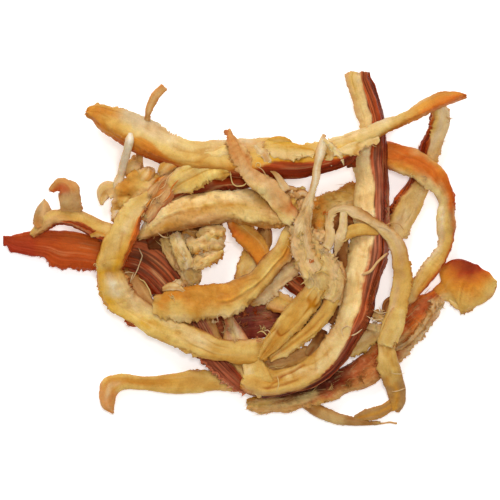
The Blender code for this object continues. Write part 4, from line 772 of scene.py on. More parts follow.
def noise(points, seed):
    """Smooth noise from -1 to 1: random values at the corners of a unit lattice, blended by S curves.

    The value of a corner is its whole-number place and the seed, mixed by multiplying with large odd numbers
    and folding the high bits down.
    """
    base = np.floor(points).astype(np.int64)
    part = points - base
    fade = part * part * (3 - 2 * part)
    total = np.zeros(points.shape[:-1])
    for corner in product((0, 1), repeat=3):
        cell = base + np.array(corner)
        mixed = (cell[..., 0] * 73856093) ^ (cell[..., 1] * 19349663) ^ (cell[..., 2] * 83492791)
        mixed = (mixed ^ (seed * 2654435761)) & 0xFFFFFFFF
        mixed = ((mixed ^ (mixed >> 15)) * 2246822519) & 0xFFFFFFFF
        mixed = ((mixed ^ (mixed >> 13)) * 3266489917) & 0xFFFFFFFF
        value = ((mixed ^ (mixed >> 16)) & 0xFFFF) / 32767.5 - 1
        total += value * np.where(np.array(corner) == 1, fade, 1 - fade).prod(axis=-1)
    return total


def layered_noise(points, seed, layers):
    """Noise with finer and weaker copies added, each at twice the detail and half the strength."""
    return sum(noise(points * 2 ** k, seed + 17 * k) / 2 ** k for k in range(layers))


def route_of(stations):
    """Rows of (x, y, z, width, station number) at even distances along a Catmull-Rom curve."""
    knots = np.array(stations, dtype=float)
    numbered = np.column_stack([knots, np.arange(len(knots))])
    padded = np.vstack([2 * numbered[0] - numbered[1], numbered, 2 * numbered[-1] - numbered[-2]])
    steps = np.linspace(0.0, 1.0, SAMPLES_PER_SPAN, endpoint=False)[:, None]
    spans = []
    for first in range(len(knots) - 1):
        before, start, end, after = padded[first:first + 4]
        spans.append(0.5 * (2 * start + (end - before) * steps
                            + (2 * before - 5 * start + 4 * end - after) * steps ** 2
                            + (3 * start - before - 3 * end + after) * steps ** 3))
    curve = np.vstack(spans + [numbered[-1:]])
    travelled = np.concatenate([[0.0], np.cumsum(np.linalg.norm(np.diff(curve[:, :3], axis=0), axis=1))])
    rings = max(FEWEST_RINGS, round(travelled[-1] / RING_STEP) + 1)
    places = np.linspace(0.0, travelled[-1], rings)
    return np.column_stack([np.interp(places, travelled, curve[:, k]) for k in range(5)]), places


def superellipse(angle):
    """Points of a rounded square: cosine and sine, each to the power 2 / CORNER_POWER with its sign kept."""
    return [np.sign(wave) * np.abs(wave) ** (2 / CORNER_POWER) for wave in (np.cos(angle), np.sin(angle))]


def section_outline(count, aspect):
    """Points evenly spaced round a superellipse whose width is aspect times its height."""
    angles = np.linspace(0.0, 2 * np.pi, OUTLINE_SAMPLES)
    across, up = superellipse(angles)
    travelled = np.concatenate([[0.0], np.cumsum(np.hypot(np.diff(across) * aspect, np.diff(up)))])
    places = np.linspace(0.0, travelled[-1], count, endpoint=False)
    return superellipse(np.interp(places, travelled, angles))


def from_stations(table, where):
    """Values of a table keyed by station number, straight lines between its entries."""
    keys = sorted(table)
    return np.interp(where, keys, [table[k] for k in keys])


def tones_at(table, where, column):
    """Colours of a table of palette words, blended along the stations and from column to column."""
    keys = sorted(table)
    grid = np.array([[INKS[word] for word in table[k].split()] for k in keys])
    row = np.interp(where, keys, np.arange(len(keys)))
    low_row = np.minimum(row.astype(int), len(keys) - 1)
    high_row = np.minimum(low_row + 1, len(keys) - 1)
    across = np.clip(column, 0.0, 1.0) * (grid.shape[1] - 1)
    low_col = np.minimum(across.astype(int), grid.shape[1] - 1)
    high_col = np.minimum(low_col + 1, grid.shape[1] - 1)
    down, over = (row - low_row)[..., None], (across - low_col)[..., None]
    upper = grid[low_row, low_col] * (1 - over) + grid[low_row, high_col] * over
    lower = grid[high_row, low_col] * (1 - over) + grid[high_row, high_col] * over
    return upper * (1 - down) + lower * down


Shell = namedtuple("Shell", "points tone glaze sheet normals edge_left edge_right top along")


class StripSurface:
    """The surface of a strip as whole arrays of rings x points round.

    A rounded rectangular section is carried along the route and rolled. Each point then moves along the
    section's own normal by lumps, fibres, grooves and skin ridges, the two edges also outwards by teeth, and
    the end rings along the route by a ragged tear. Every noise of a strip has a number of its own.
    """

    def __init__(self, item, seed):
        self.item, self.seed = item, seed
        route, self.along_mm = route_of(item.stations)
        self.station = route[:, 4]
        self.width = np.maximum(route[:, 3], 2 * LEAST_HALF_WIDTH)
        self.small = np.clip(self.width.max() / FULL_RELIEF_WIDTH, LEAST_RELIEF, 1.0)
        self.carry_section(route[:, :3])
        self.mark_flesh()
        self.mark_skin()
        self.mark_creases()

    def carry_section(self, centre):
        """The plain surface and its normals, and where a point is: over the width as seen and round the strip."""
        width, turn = self.width, np.radians(self.item.roll)
        along = np.gradient(centre, axis=0)
        along /= np.linalg.norm(along, axis=1, keepdims=True)
        left = np.column_stack([-along[:, 1], along[:, 0], np.zeros(len(centre))])
        left /= np.linalg.norm(left, axis=1, keepdims=True)
        upward = np.cross(along, left)
        half_thick = self.item.thick / 2 * np.clip(width / width.max(), THINNEST_SHARE, 1.0)
        half_width = np.maximum((width / 2 - half_thick * abs(np.sin(turn))) / np.cos(turn), LEAST_HALF_WIDTH)
        count = next(points for limit, points in POINTS_ROUND if width.max() < limit)
        across, up = section_outline(count, np.median(half_width / half_thick))
        seen = half_width[:, None] * across * np.cos(turn) - half_thick[:, None] * up * np.sin(turn)
        grow = width / 2 / seen.max(axis=1)
        half_width, half_thick = half_width * grow, half_thick * grow
        rolled_left = (left * np.cos(turn) + upward * np.sin(turn))[:, None, :]
        rolled_up = (upward * np.cos(turn) - left * np.sin(turn))[:, None, :]
        lean_across = np.sign(across) * np.abs(across) ** (CORNER_POWER - 1) / half_width[:, None]
        lean_up = np.sign(up) * np.abs(up) ** (CORNER_POWER - 1) / half_thick[:, None]
        size = np.hypot(lean_across, lean_up)
        self.base = (centre[:, None, :] + rolled_left * (half_width[:, None] * across)[:, :, None]
                     + rolled_up * (half_thick[:, None] * up)[:, :, None])
        self.normal = rolled_left * (lean_across / size)[:, :, None] + rolled_up * (lean_up / size)[:, :, None]
        self.across, self.up, self.half_thick = across, up, half_thick
        self.along, self.rolled_left = along, rolled_left
        self.column = 0.5 - 0.5 * (seen * grow[:, None]) / (width / 2)[:, None]
        self.girth = 4 * ROUNDING * (half_width.mean() + half_thick.mean()) * np.arange(count) / count
        circle = self.girth.max() / (2 * np.pi)
        self.round_x, self.round_y = circle * np.cos(self.girth / circle), circle * np.sin(self.girth / circle)
        self.far = np.broadcast_to(self.along_mm[:, None], self.base.shape[:2])

    def blobs(self, size, number):
        """Noise of about equal size every way."""
        return noise(self.base / size, self.seed + number)

    def streaks(self, length, breadth, number, shift=31.7):
        """Noise over the length and the way round, drawn out along the strip."""
        place = stacked(self.far / length + shift * number, self.round_x / breadth, self.round_y / breadth)
        return noise(place, self.seed + number)

    def sinews(self, number, thin):
        """Thin lines where streaks cross zero, in some places only."""
        line = np.exp(-(self.streaks(SINEW_LENGTH, SINEW_WIDTH, number) / thin) ** 2)
        return line * smooth(-0.1, 0.4, self.streaks(7.0, 3.0, number + 1))

    def mark_flesh(self):
        """Lumps, knobs, fibres, grooves, facets, patches, sinews, cracks and pits, and uneven places for tones."""
        blobs, streaks = self.blobs, self.streaks
        self.lumps = blobs(LUMP_SIZE, 0) + 0.5 * blobs(0.5 * LUMP_SIZE, 1)
        self.knobs = layered_noise(self.base / KNOB_SIZE, self.seed + 2, 2)
        fine = streaks(0.5 * FIBRE_LENGTH, 0.6 * FIBRE_WIDTH, 4)
        self.fibres = streaks(FIBRE_LENGTH, FIBRE_WIDTH, 3) + 0.6 * fine
        self.grooves = 1 - 2 * np.abs(streaks(GROOVE_LENGTH, GROOVE_WIDTH, 5))
        planes = [blobs(FACET_SIZE, 15 + 40 * k) for k in range(4)]
        chips = [blobs(CHIP_SIZE, 19 + 40 * k) for k in range(3)]
        facets = np.minimum(planes[0], planes[1]) + np.maximum(planes[2], planes[3])
        self.facets = facets + 0.45 * (np.minimum(chips[0], chips[1]) + 0.5 * np.maximum(chips[1], chips[2]))
        self.patches = (smooth(-PATCH_EDGE, PATCH_EDGE, planes[0] - planes[1])
                        - smooth(-PATCH_EDGE, PATCH_EDGE, planes[2] - planes[3]))
        self.dark_sinews, self.pale_sinews = self.sinews(34, 0.1), self.sinews(36, 0.13)
        cracks = smooth(0.72, 0.97, 1 - np.abs(streaks(CRACK_SPACING, CRACK_LENGTH, 16, shift=0.0)))
        self.cracks = cracks * smooth(0.0, 0.5, blobs(3.5, 17))
        self.pits = smooth(0.42, 0.8, blobs(PIT_SIZE, 6)) * smooth(-0.1, 0.4, blobs(4 * PIT_SIZE, 7))
        self.column_rough = self.column + 0.08 * blobs(1.6, 8) + 0.03 * blobs(0.5, 9)
        self.station_rough = self.station[:, None] + 0.4 * blobs(2.2, 10)

    def mark_skin(self):
        """glaze is 1 on skin and 0 on flesh, with an uneven border; bands and rows line the skin."""
        item = self.item
        self.glaze, self.combed = np.zeros(self.base.shape[:2]), 1.0
        if item.skin:
            self.combed = from_stations(item.comb, self.station)[:, None]
            self.share = from_stations(item.share, self.station)[:, None]
            self.inward = self.column if item.skin == "left" else 1 - self.column
            border = 0.02 * self.blobs(0.6, 11) + 0.07 * self.blobs(3.0, 12) + 0.03 * self.streaks(3.0, 0.8, 19)
            reach = self.share + border * smooth(0.0, 0.1, self.share)
            self.glaze = smooth(-0.05, 0.05, reach - self.inward)
        self.lined = 0.35 + 0.65 * self.combed
        self.bands = np.abs(self.streaks(1.8 * GROOVE_LENGTH, RIDGE_WIDTH, 13))
        self.dark_lines = 1 - smooth(0.05, 0.3, self.bands)
        self.fine_rows = self.streaks(0.6 * GROOVE_LENGTH, 0.4 * RIDGE_WIDTH, 14)

    def mark_creases(self):
        """Each fold is a bell-shaped furrow, or crest, along a line over the upper face, faded at both ends."""
        self.creases = np.zeros(self.base.shape[:2])
        station = self.station
        for first, start_column, last, end_column, depth in self.item.folds:
            line = np.interp(station, (first, last), (start_column, end_column))[:, None]
            begun = smooth(first - FOLD_FADE, first + FOLD_FADE, station)
            inside = (begun * (1 - smooth(last - FOLD_FADE, last + FOLD_FADE, station)))[:, None]
            apart = (self.column + 0.02 * self.blobs(1.4, 18) - line) * self.width[:, None] / FOLD_WIDTH
            self.creases = self.creases + depth * inside * np.exp(-apart ** 2) * (self.up > -0.2)

    def lift(self):
        """How far each point moves along its normal: the sum of all marks, less of the flesh's under skin."""
        item, small, bare = self.item, self.small, 1 - self.glaze
        flesh = (LUMP_HEIGHT * self.lumps + KNOB_HEIGHT * self.knobs + FACET_HEIGHT * self.facets
                 - CRACK_DEPTH * self.cracks)
        lift = small * item.rough * flesh
        lift = lift * (1 - 0.5 * self.glaze) + small * item.fibre * FIBRE_HEIGHT * self.fibres
        sinews = 0.8 * self.pale_sinews - self.dark_sinews
        lift += small * np.clip(item.fibre, 0, 1.6) * SINEW_HEIGHT * sinews * bare
        lift -= self.creases
        lift += (small * (LEAST_GROOVE + item.groove) * GROOVE_DEPTH * self.grooves
                 - small * item.pits * PIT_DEPTH * self.pits * bare)
        ridges = 0.5 - self.dark_lines + 0.25 * self.fine_rows
        lift += small * self.glaze * item.ridges * self.lined * RIDGE_HEIGHT * ridges
        return lift

    def edge_teeth(self, side, size_mm):
        """Moves outwards on the left (1) or right (-1) edge: fine teeth, more in some places, on slow waves."""
        edge = smooth(EDGE_SHARE, 1.0, self.across * side)[None, :]
        level = self.up * self.half_thick[:, None]
        steps = stacked(self.far / TOOTH_SIZE, level / TOOTH_DEPTH, side * 7.0)
        waves = stacked(self.far / WAVE_SIZE, level / WAVE_DEPTH, side * 3.0)
        seed = self.seed
        teeth = 1.9 * np.abs(noise(steps, seed + 20)) ** 1.5 + 0.9 * noise(steps * 2.3, seed + 21) ** 2 - 0.55
        torn = smooth(-0.15, 0.55, noise(waves * (0.45, 1.0, 1.0), seed + 24))
        out = size_mm * (teeth * (0.28 + 1.6 * torn) + 0.9 * noise(waves, seed + 22))
        return self.rolled_left * (side * edge * out)[:, :, None]

    def end_tear(self, near, facing):
        """Moves along the route near an end, which is torn, not cut."""
        fall = np.clip(1 - near / END_TEAR_LENGTH, 0.0, 1.0)[:, None] ** 2
        place = stacked(self.round_x / END_TOOTH_SIZE, self.round_y / END_TOOTH_SIZE, 5.0 + facing)
        jag = (noise(place, self.seed + 23) - 0.2)[None, :]
        return self.along[:, None, :] * (facing * fall * self.small * END_TEAR * jag)[:, :, None]

    def flesh_colour(self):
        """The tones with blush, patches, cracks, and specks where wanted; the lower side walls amber and darker as
        painted shade; painted shade in dark sinews and creases; painted highlights on pale sinews and crests.
        """
        item = self.item
        tone = tones_at(item.tones, self.station_rough, self.column_rough)
        blush = self.blobs(5.0, 30) + 0.5 * self.blobs(1.7, 33) + 0.4 * self.streaks(4.0, 1.1, 41)
        tone = shaded(tone, 0.1 * blush, BLUSH)
        tone = shaded(tone, 0.1 * self.patches, PATCH)
        # Lower side walls: their own amber, and painted shade.
        wall = smooth(0.8, 1.0, np.abs(self.across)) * smooth(-0.5, 0.5, 0.4 - self.up)
        tone = shaded(tone, -item.warm * wall[None, :], WALL_AMBER_AND_SHADE)
        tone = shaded(tone, -self.cracks, CRACK_STAIN)
        # Dark sinews: painted shade in their sunk lines. Pale sinews: a painted highlight on their raised lines,
        # towards cream.
        tone = shaded(tone, -item.fibre * self.dark_sinews, SINEW_SHADE)
        tone = tone + np.clip(0.4 * item.fibre, 0, 0.7) * self.pale_sinews[:, :, None] * (INKS["cream"] - tone)
        # Creases: painted shade. Crests, where the depth is negative: a painted highlight.
        tone = tone * np.clip(1 - self.creases[:, :, None] * CREASE_SHADE, 0.25, 1.25)
        if item.speckle:
            fleck = self.blobs(SPECK_SIZE, 31)
            dark = smooth(0.3, 0.7, fleck)[:, :, None] * item.speckle
            light = smooth(0.35, 0.75, -fleck)[:, :, None] * item.speckle
            light = light * (0.15 + tone.mean(axis=2, keepdims=True))
            tone = tone * (1 - 0.45 * dark) + light * (INKS["custard"] - tone)
        return tone

    def skin_colour(self):
        """The skin's tones, darkened in its lines, with a painted highlight towards peach on its crests."""
        item = self.item
        depth = np.clip(self.inward / np.maximum(self.share, 0.05), 0.0, 1.0)
        outward = 1 - depth + 0.15 * self.blobs(2.0, 32)
        hide = tones_at(item.skin_tones, self.station_rough, outward)
        hide = hide * (1 - item.ridges * LINE_STAIN * (self.combed * self.dark_lines)[:, :, None])
        # Painted highlight: the crests of the skin's rows drawn towards peach.
        crest = smooth(0.25, 0.6, self.bands) * smooth(0.15, 0.6, self.fine_rows) * self.lined
        return hide + 0.55 * item.ridges * crest[:, :, None] * (INKS["peach"] - hide)

    def colour(self):
        """Flesh and skin together, with painted shade, darker and redder, in hollows and pits and a painted highlight
        on raised relief.
        """
        item, glaze = self.item, self.glaze[:, :, None]
        tone = self.flesh_colour()
        if item.skin:
            tone = tone * (1 - glaze) + self.skin_colour() * glaze
        # Painted shade in the relief's hollows and a painted highlight on its raised parts.
        relief_shade = np.clip(0.4 * self.lumps + 0.5 * self.facets + 0.5 * self.knobs * item.rough
                         + 0.2 * self.fibres * item.fibre + 0.5 * self.grooves * item.groove, -1.3, 1.3)
        tone = shaded(tone, relief_shade * (1 - 0.5 * self.glaze), RELIEF_SHADING)
        # Painted shade in pits.
        pit_shade = np.minimum(item.pits * 0.35 * self.pits, 0.5) * (1 - self.glaze)
        return np.clip(shaded(tone, -pit_shade, PIT_SHADE), 0.0, 1.0)

    def shell(self):
        """The finished surface: the plain one lifted, then toothed at its edges and torn at its ends."""
        points = self.base + self.normal * self.lift()[:, :, None]
        for side, size_mm in zip((1, -1), self.item.rag):
            points += self.edge_teeth(side, size_mm)
        for near, facing in ((self.along_mm, -1), (self.along_mm[-1] - self.along_mm, 1)):
            points += self.end_tear(near, facing)
        sheet = stacked(self.girth / COLOUR_CELL, self.far / COLOUR_CELL)
        return Shell(points, self.colour(), self.glaze * self.combed, sheet, self.normal,
                     int(np.argmax(self.across)), int(np.argmin(self.across)), self.up > TOP_FACE, self.along)


def closed_shell(shell):
    """Vertices, faces, colours, glaze and sheet places of a strip whose ends are drawn in and closed."""
    layers = {"points": shell.points, "tone": shell.tone, "glaze": shell.glaze[:, :, None], "sheet": shell.sheet}
    for name, layer in layers.items():
        for end, inside in ((0, 1), (-1, -2)):
            ring = layer[end]
            middle = ring.mean(axis=0)
            step = (layer[end] - layer[inside]).mean(axis=0) if name == "points" else 0.0
            rows = [middle + (ring - middle) * share + step * bulge for share, bulge in END_RINGS]
            layer = np.concatenate([np.stack(rows[::-1]), layer] if end == 0 else [layer, np.stack(rows)])
        layers[name] = layer
    rings, count = layers["points"].shape[:2]
    index = np.arange(rings * count).reshape(rings, count)
    after = np.roll(index, -1, axis=1)
    walls = np.stack([index[:-1], after[:-1], after[1:], index[1:]], -1).reshape(-1, 4)
    first, last = rings * count, rings * count + 1
    caps = np.vstack([stacked(after[0], index[0], first), stacked(index[-1], after[-1], last)])
    flat = {name: np.vstack([layer.reshape(rings * count, -1), layer[0].mean(axis=0), layer[-1].mean(axis=0)])
            for name, layer in layers.items()}
    return flat, walls, caps


def tapered_tubes(paths, radii, tones, sides=4):
    """Thin round fibres: each path of points carries a ring of points round it, drawn to a point at each end.

    paths is fibres x steps x 3, radii fibres x steps, tones fibres x 3.
    """
    fibres, steps = paths.shape[:2]
    ahead = np.gradient(paths, axis=1)
    ahead /= np.linalg.norm(ahead, axis=2, keepdims=True) + 1e-9
    side = np.cross(ahead, np.array([0.31, 0.22, 0.93]))
    side /= np.linalg.norm(side, axis=2, keepdims=True) + 1e-9
    other = np.cross(ahead, side)
    angle = np.arange(sides) * 2 * np.pi / sides
    ring = side[:, :, None, :] * np.cos(angle)[:, None] + other[:, :, None, :] * np.sin(angle)[:, None]
    points = paths[:, :, None, :] + ring * radii[:, :, None, None]
    index = np.arange(fibres * steps * sides).reshape(fibres, steps, sides)
    after = np.roll(index, -1, axis=2)
    walls = np.stack([index[:, :-1], after[:, :-1], after[:, 1:], index[:, 1:]], -1).reshape(-1, 4)
    tips = fibres * steps * sides + np.arange(2 * fibres).reshape(fibres, 2)
    caps = np.vstack([stacked(after[:, 0], index[:, 0], tips[:, :1]).reshape(-1, 3),
                      stacked(index[:, -1], after[:, -1], tips[:, 1:]).reshape(-1, 3)])
    number = fibres * steps * sides + 2 * fibres
    flat = {
        "points": np.vstack([points.reshape(-1, 3), paths[:, [0, -1]].reshape(-1, 3)]),
        "tone": np.vstack([np.repeat(tones, steps * sides, axis=0), np.repeat(tones, 2, axis=0)]),
        "glaze": np.zeros((number, 1)),
        "sheet": np.zeros((number, 2)),
    }
    return flat, walls, caps


def barb_rows(shell, ring, spot, length, radius, draw, outwards):
    """Paths, radii and colours of fibres that start at given surface points and bend along the strip."""
    start = shell.points[ring, spot]
    away = shell.normals[ring, spot]
    forward = shell.along[ring] * np.where(draw.random(len(ring)) < 0.5, -1.0, 1.0)[:, None]
    aside = np.cross(away, forward) * draw.uniform(-0.5, 0.5, len(ring))[:, None]
    share = np.linspace(0.0, 1.0, len(BARB_TAPER))[None, :, None]
    reach = length[:, None, None]
    bend = draw.uniform(0.3, 1.0, len(ring))[:, None, None]
    path = (start[:, None, :] - BARB_ROOT * away[:, None, :]
            + away[:, None, :] * reach * outwards * share * (1 - 0.45 * share * bend)
            + (forward + aside)[:, None, :] * reach * (share * (1 - outwards) + 0.7 * share ** 2 * bend))
    tone = shell.tone[ring, spot]
    tone = tone + draw.uniform(0.1, 0.6, len(ring))[:, None] * (INKS["cream"] - tone)
    return path, radius[:, None] * BARB_TAPER[None, :], tone


def edge_barbs(shell, item, draw):
    """Short hooked fibres torn out along both edges."""
    rings = len(shell.points)
    parts = []
    for column, size_mm in zip((shell.edge_left, shell.edge_right), item.rag):
        number = int(rings * RING_STEP * BARBS_PER_MM * smooth(0.12, 0.5, size_mm))
        if number == 0:
            continue
        ring = draw.integers(2, rings - 2, number)
        spot = (column + draw.integers(-4, 5, number)) % shell.points.shape[1]
        parts.append(barb_rows(shell, ring, spot, draw.uniform(0.35, 1.1, number) * (0.4 + size_mm * 2),
                               draw.uniform(0.06, 0.15, number), draw, 0.9))
    return parts


def surface_fuzz(shell, item, draw):
    """Longer loose fibres lying on the upper face."""
    ring = draw.integers(2, len(shell.points) - 2, item.fuzz)
    spot = draw.choice(np.flatnonzero(shell.top), item.fuzz)
    return [barb_rows(shell, ring, spot, draw.uniform(0.8, 2.6, item.fuzz), draw.uniform(0.05, 0.11, item.fuzz),
                      draw, 0.25)]


def unit_crumb():
    """Points of a ball squared off by CRUMB_POWER, and its faces."""
    polar = np.linspace(0.0, np.pi, CRUMB_ROWS + 2)[1:-1][:, None]
    angle = (np.arange(CRUMB_POINTS) * 2 * np.pi / CRUMB_POINTS)[None, :]
    ball = stacked(np.sin(polar) * np.cos(angle), np.sin(polar) * np.sin(angle), np.cos(polar))
    unit = np.vstack([ball.reshape(-1, 3), [[0.0, 0.0, 1.0], [0.0, 0.0, -1.0]]])
    unit = unit / (np.abs(unit) ** CRUMB_POWER).sum(axis=1, keepdims=True) ** (1 / CRUMB_POWER)
    last = CRUMB_ROWS * CRUMB_POINTS
    index = np.arange(last).reshape(CRUMB_ROWS, CRUMB_POINTS)
    after = np.roll(index, -1, axis=1)
    walls = np.stack([index[:-1], index[1:], after[1:], after[:-1]], -1).reshape(-1, 4)
    caps = np.vstack([stacked(index[0], after[0], last), stacked(after[-1], index[-1], last + 1)])
    return unit, walls, caps


def turning(quaternions):
    """Rotation matrices of unit quaternions."""
    w, x, y, z = quaternions.T
    return np.array([[1 - 2 * (y * y + z * z), 2 * (x * y - z * w), 2 * (x * z + y * w)],
                     [2 * (x * y + z * w), 1 - 2 * (x * x + z * z), 2 * (y * z - x * w)],
                     [2 * (x * z - y * w), 2 * (y * z + x * w), 1 - 2 * (x * x + y * y)]]).transpose(2, 0, 1)


def crumb_rows(cluster, draw):
    """Centres, half sizes, turns, colours and raggedness of the crumbs of one cluster, a big one in its middle."""
    x, y, z, radius = cluster
    number = int(5 + 4 * radius)
    direction = draw.normal(size=(number, 3))
    direction /= np.linalg.norm(direction, axis=1, keepdims=True)
    reach = radius * draw.uniform(0.25, 0.62, number)[:, None]
    reach[0] = 0.0
    size = radius * draw.uniform(0.3, 0.62, (number, 1)) * draw.uniform(0.35, 1.25, (number, 3))
    size[0] = radius * draw.uniform(0.62, 0.85, 3)
    words = draw.choice(list(CRUMB_TONES), number, p=list(CRUMB_TONES.values()))
    tone = np.array([INKS[word] for word in words]) * draw.uniform(0.88, 1.08, (number, 1))
    quaternion = draw.normal(size=(number, 4))
    quaternion /= np.linalg.norm(quaternion, axis=1, keepdims=True)
    ragged = np.full((number, 1), SMOOTH_CRUMB if x < SMOOTH_WEST else 1.0)
    return np.array([x, y, z]) + direction * reach, size, quaternion, tone, ragged


def crumbs(clusters, draw):
    """Torn crumbs of flesh: rounded blocks, squashed and turned at random, with noise moving their surface, painted
    shade where it sinks the surface and a painted highlight where it raises it.
    """
    rows = zip(*(crumb_rows(cluster, draw) for cluster in clusters))
    centres, sizes, turns, tones, ragged = (np.vstack(row) for row in rows)
    unit, walls, caps = unit_crumb()
    turned = np.einsum("nij,nkj->nki", turning(turns), unit[None] * sizes[:, None, :])
    points = centres[:, None, :] + turned
    away = turned / (np.linalg.norm(turned, axis=2, keepdims=True) + 1e-9)
    bumps = layered_noise(points / 1.1, 901, 3)
    torn = np.abs(noise(points / 0.7, 911))
    sharp = 1 - 2 * np.abs(noise(points / 0.9 * (1.0, 0.55, 1.0), 921))
    reach = sizes.mean(axis=1)[:, None] * ragged
    points = points + away * ((0.26 * bumps - 0.3 * torn + 0.14 * sharp) * reach)[:, :, None]
    # Painted shade where the surface was sunk, painted highlight where it was raised.
    dark = np.clip(0.6 * torn - 0.3 * bumps - 0.12 * sharp, -0.15, 0.7) * (0.4 + 0.6 * ragged)
    shade = tones[:, None, :] * (1.04 - dark[:, :, None] * CRUMB_SHADE)
    number, per = points.shape[:2]
    shift = (np.arange(number) * per)[:, None, None]
    flat = {"points": points.reshape(-1, 3), "tone": np.clip(shade, 0, 1).reshape(-1, 3),
            "glaze": np.zeros((number * per, 1)),
            "sheet": np.broadcast_to(unit[None, :, :2] * 0.15, (number, per, 2)).reshape(-1, 2)}
    return flat, (walls[None] + shift).reshape(-1, 4), (caps[None] + shift).reshape(-1, 3)


def heap_height(shells):
    """A function giving the height of the heap's top at a place: the highest surface point in each small cell."""
    cells = int(2 * MAP_REACH / CELL)
    grid = np.zeros((cells, cells))

    def cell_of(places):
        return np.clip(((places + MAP_REACH) / CELL).astype(int), 0, cells - 1)

    for shell in shells:
        spots = shell.points.reshape(-1, 3)
        where = cell_of(spots[:, :2])
        np.maximum.at(grid, (where[:, 0], where[:, 1]), spots[:, 2])

    def height(places):
        where = cell_of(places)
        return grid[where[..., 0], where[..., 1]]

    return height


def laid_threads(threads, height, draw):
    """Threads lying over the heap: each bends through its places, at the height of what is below plus a lift,
    and stays above lines that fall at THREAD_SLOPE from each high place."""
    rows = []
    for thick, word, lift, places in threads:
        path, travelled = route_of([(x, y, lift, thick) for x, y in places])
        count = max(FEWEST_THREAD_STEPS, int(travelled[-1] / THREAD_STEP))
        share = np.linspace(0, len(path) - 1, count)
        line = np.column_stack([np.interp(share, np.arange(len(path)), path[:, k]) for k in range(2)])
        ground = height(line)
        order = np.arange(count)
        apart = np.abs(np.subtract.outer(order, order)) * travelled[-1] / count
        padded = np.pad((ground[None, :] - THREAD_SLOPE * apart).max(axis=1), 2, mode="edge")
        ground = np.maximum(np.convolve(padded, np.ones(5) / 5, mode="valid"), ground - THREAD_SINK)
        wobble = 0.1 * noise(np.column_stack([share * 0.2, line]), 77)
        points = np.column_stack([line + wobble[:, None], ground + lift])
        taper = np.clip(np.minimum(order + 1, count - order) / 4, 0.25, 1.0)
        radius = thick / 2 * taper * (1 + 0.25 * noise(np.column_stack([share * 0.35, line]), 78))
        rows.append((points[None], radius[None], INKS[word][None] * draw.uniform(0.92, 1.05)))
    return rows


def tufts(spots, height, draw):
    """Clumps of short curling fibres that spread from a spot on the heap."""
    rows = []
    share = np.linspace(0.0, 1.0, len(TUFT_TAPER))[None, :]
    for x, y, number, reach, word in spots:
        middle = np.array([x, y])
        start = middle + draw.normal(0.0, 0.3 * reach, (number, 2))
        start = np.where((height(start) < height(middle) - TUFT_DROP)[:, None], middle, start)
        heading = draw.uniform(0.0, 2 * np.pi) + draw.normal(0.0, 0.75, number)
        length = reach * draw.uniform(0.5, 1.2, number)
        curl = heading[:, None] + draw.uniform(-1.8, 1.8, number)[:, None] * share
        line = start[:, None, :] + np.stack([np.cos(curl), np.sin(curl)], -1) * (length[:, None] * share)[:, :, None]
        rise = draw.uniform(0.1, 0.7, number)[:, None] * np.sin(np.pi * share * 0.8)
        ground = height(start)[:, None] + 0.1 + rise
        radius = draw.uniform(0.05, 0.12, number)[:, None] * TUFT_TAPER
        shade = INKS[word] * draw.uniform(0.85, 1.1, number)[:, None]
        rows.append((np.concatenate([line, ground[:, :, None]], -1), radius, np.clip(shade, 0, 1)))
    return rows


def piece_mesh(name, parts, finish):
    """One object from closed surfaces: all corners moved to the origin's frame and kept in the part's box."""
    sizes = [len(flat["points"]) for flat, _, _ in parts]
    starts = np.cumsum([0] + sizes[:-1])
    quads = np.vstack([walls + start for (_, walls, _), start in zip(parts, starts)])
    tris = np.vstack([caps + start for (_, _, caps), start in zip(parts, starts)])
    layers = {layer: np.vstack([flat[layer] for flat, _, _ in parts]) for layer in parts[0][0]}
    low, high = (np.array(corner) / MM for corner in CAD_BOX)
    places = np.clip(layers["points"] - MIDDLE, low, high) * MM
    mesh = bpy.data.meshes.new(name)
    mesh.vertices.add(len(places))
    mesh.vertices.foreach_set("co", places.astype(np.float32).ravel())
    corners = np.concatenate([quads.ravel(), tris.ravel()]).astype(np.int32)
    firsts = np.concatenate([np.arange(len(quads)) * 4, 4 * len(quads) + np.arange(len(tris)) * 3])
    mesh.loops.add(len(corners))
    mesh.loops.foreach_set("vertex_index", corners)
    mesh.polygons.add(len(firsts))
    mesh.polygons.foreach_set("loop_start", firsts.astype(np.int32))
    mesh.update(calc_edges=True)
    mesh.validate()
    tone = np.column_stack([layers["tone"], np.ones(len(places))])
    colour = mesh.color_attributes.new("tone", "FLOAT_COLOR", "POINT")
    colour.data.foreach_set("color", tone.astype(np.float32).ravel())
    glaze = mesh.attributes.new("glaze", "FLOAT", "POINT")
    glaze.data.foreach_set("value", layers["glaze"].astype(np.float32).ravel())
    sheet = mesh.uv_layers.new(name="sheet")
    order = np.empty(len(mesh.loops), dtype=np.int32)
    mesh.loops.foreach_get("vertex_index", order)
    sheet.data.foreach_set("uv", layers["sheet"][order].astype(np.float32).ravel())
    mesh.polygons.foreach_set("use_smooth", np.ones(len(mesh.polygons), dtype=bool))
    mesh.materials.append(finish)
    piece = bpy.data.objects.new(name, mesh)
    bpy.context.scene.collection.objects.link(piece)
    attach(piece, "root")
    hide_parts("squid_strips")


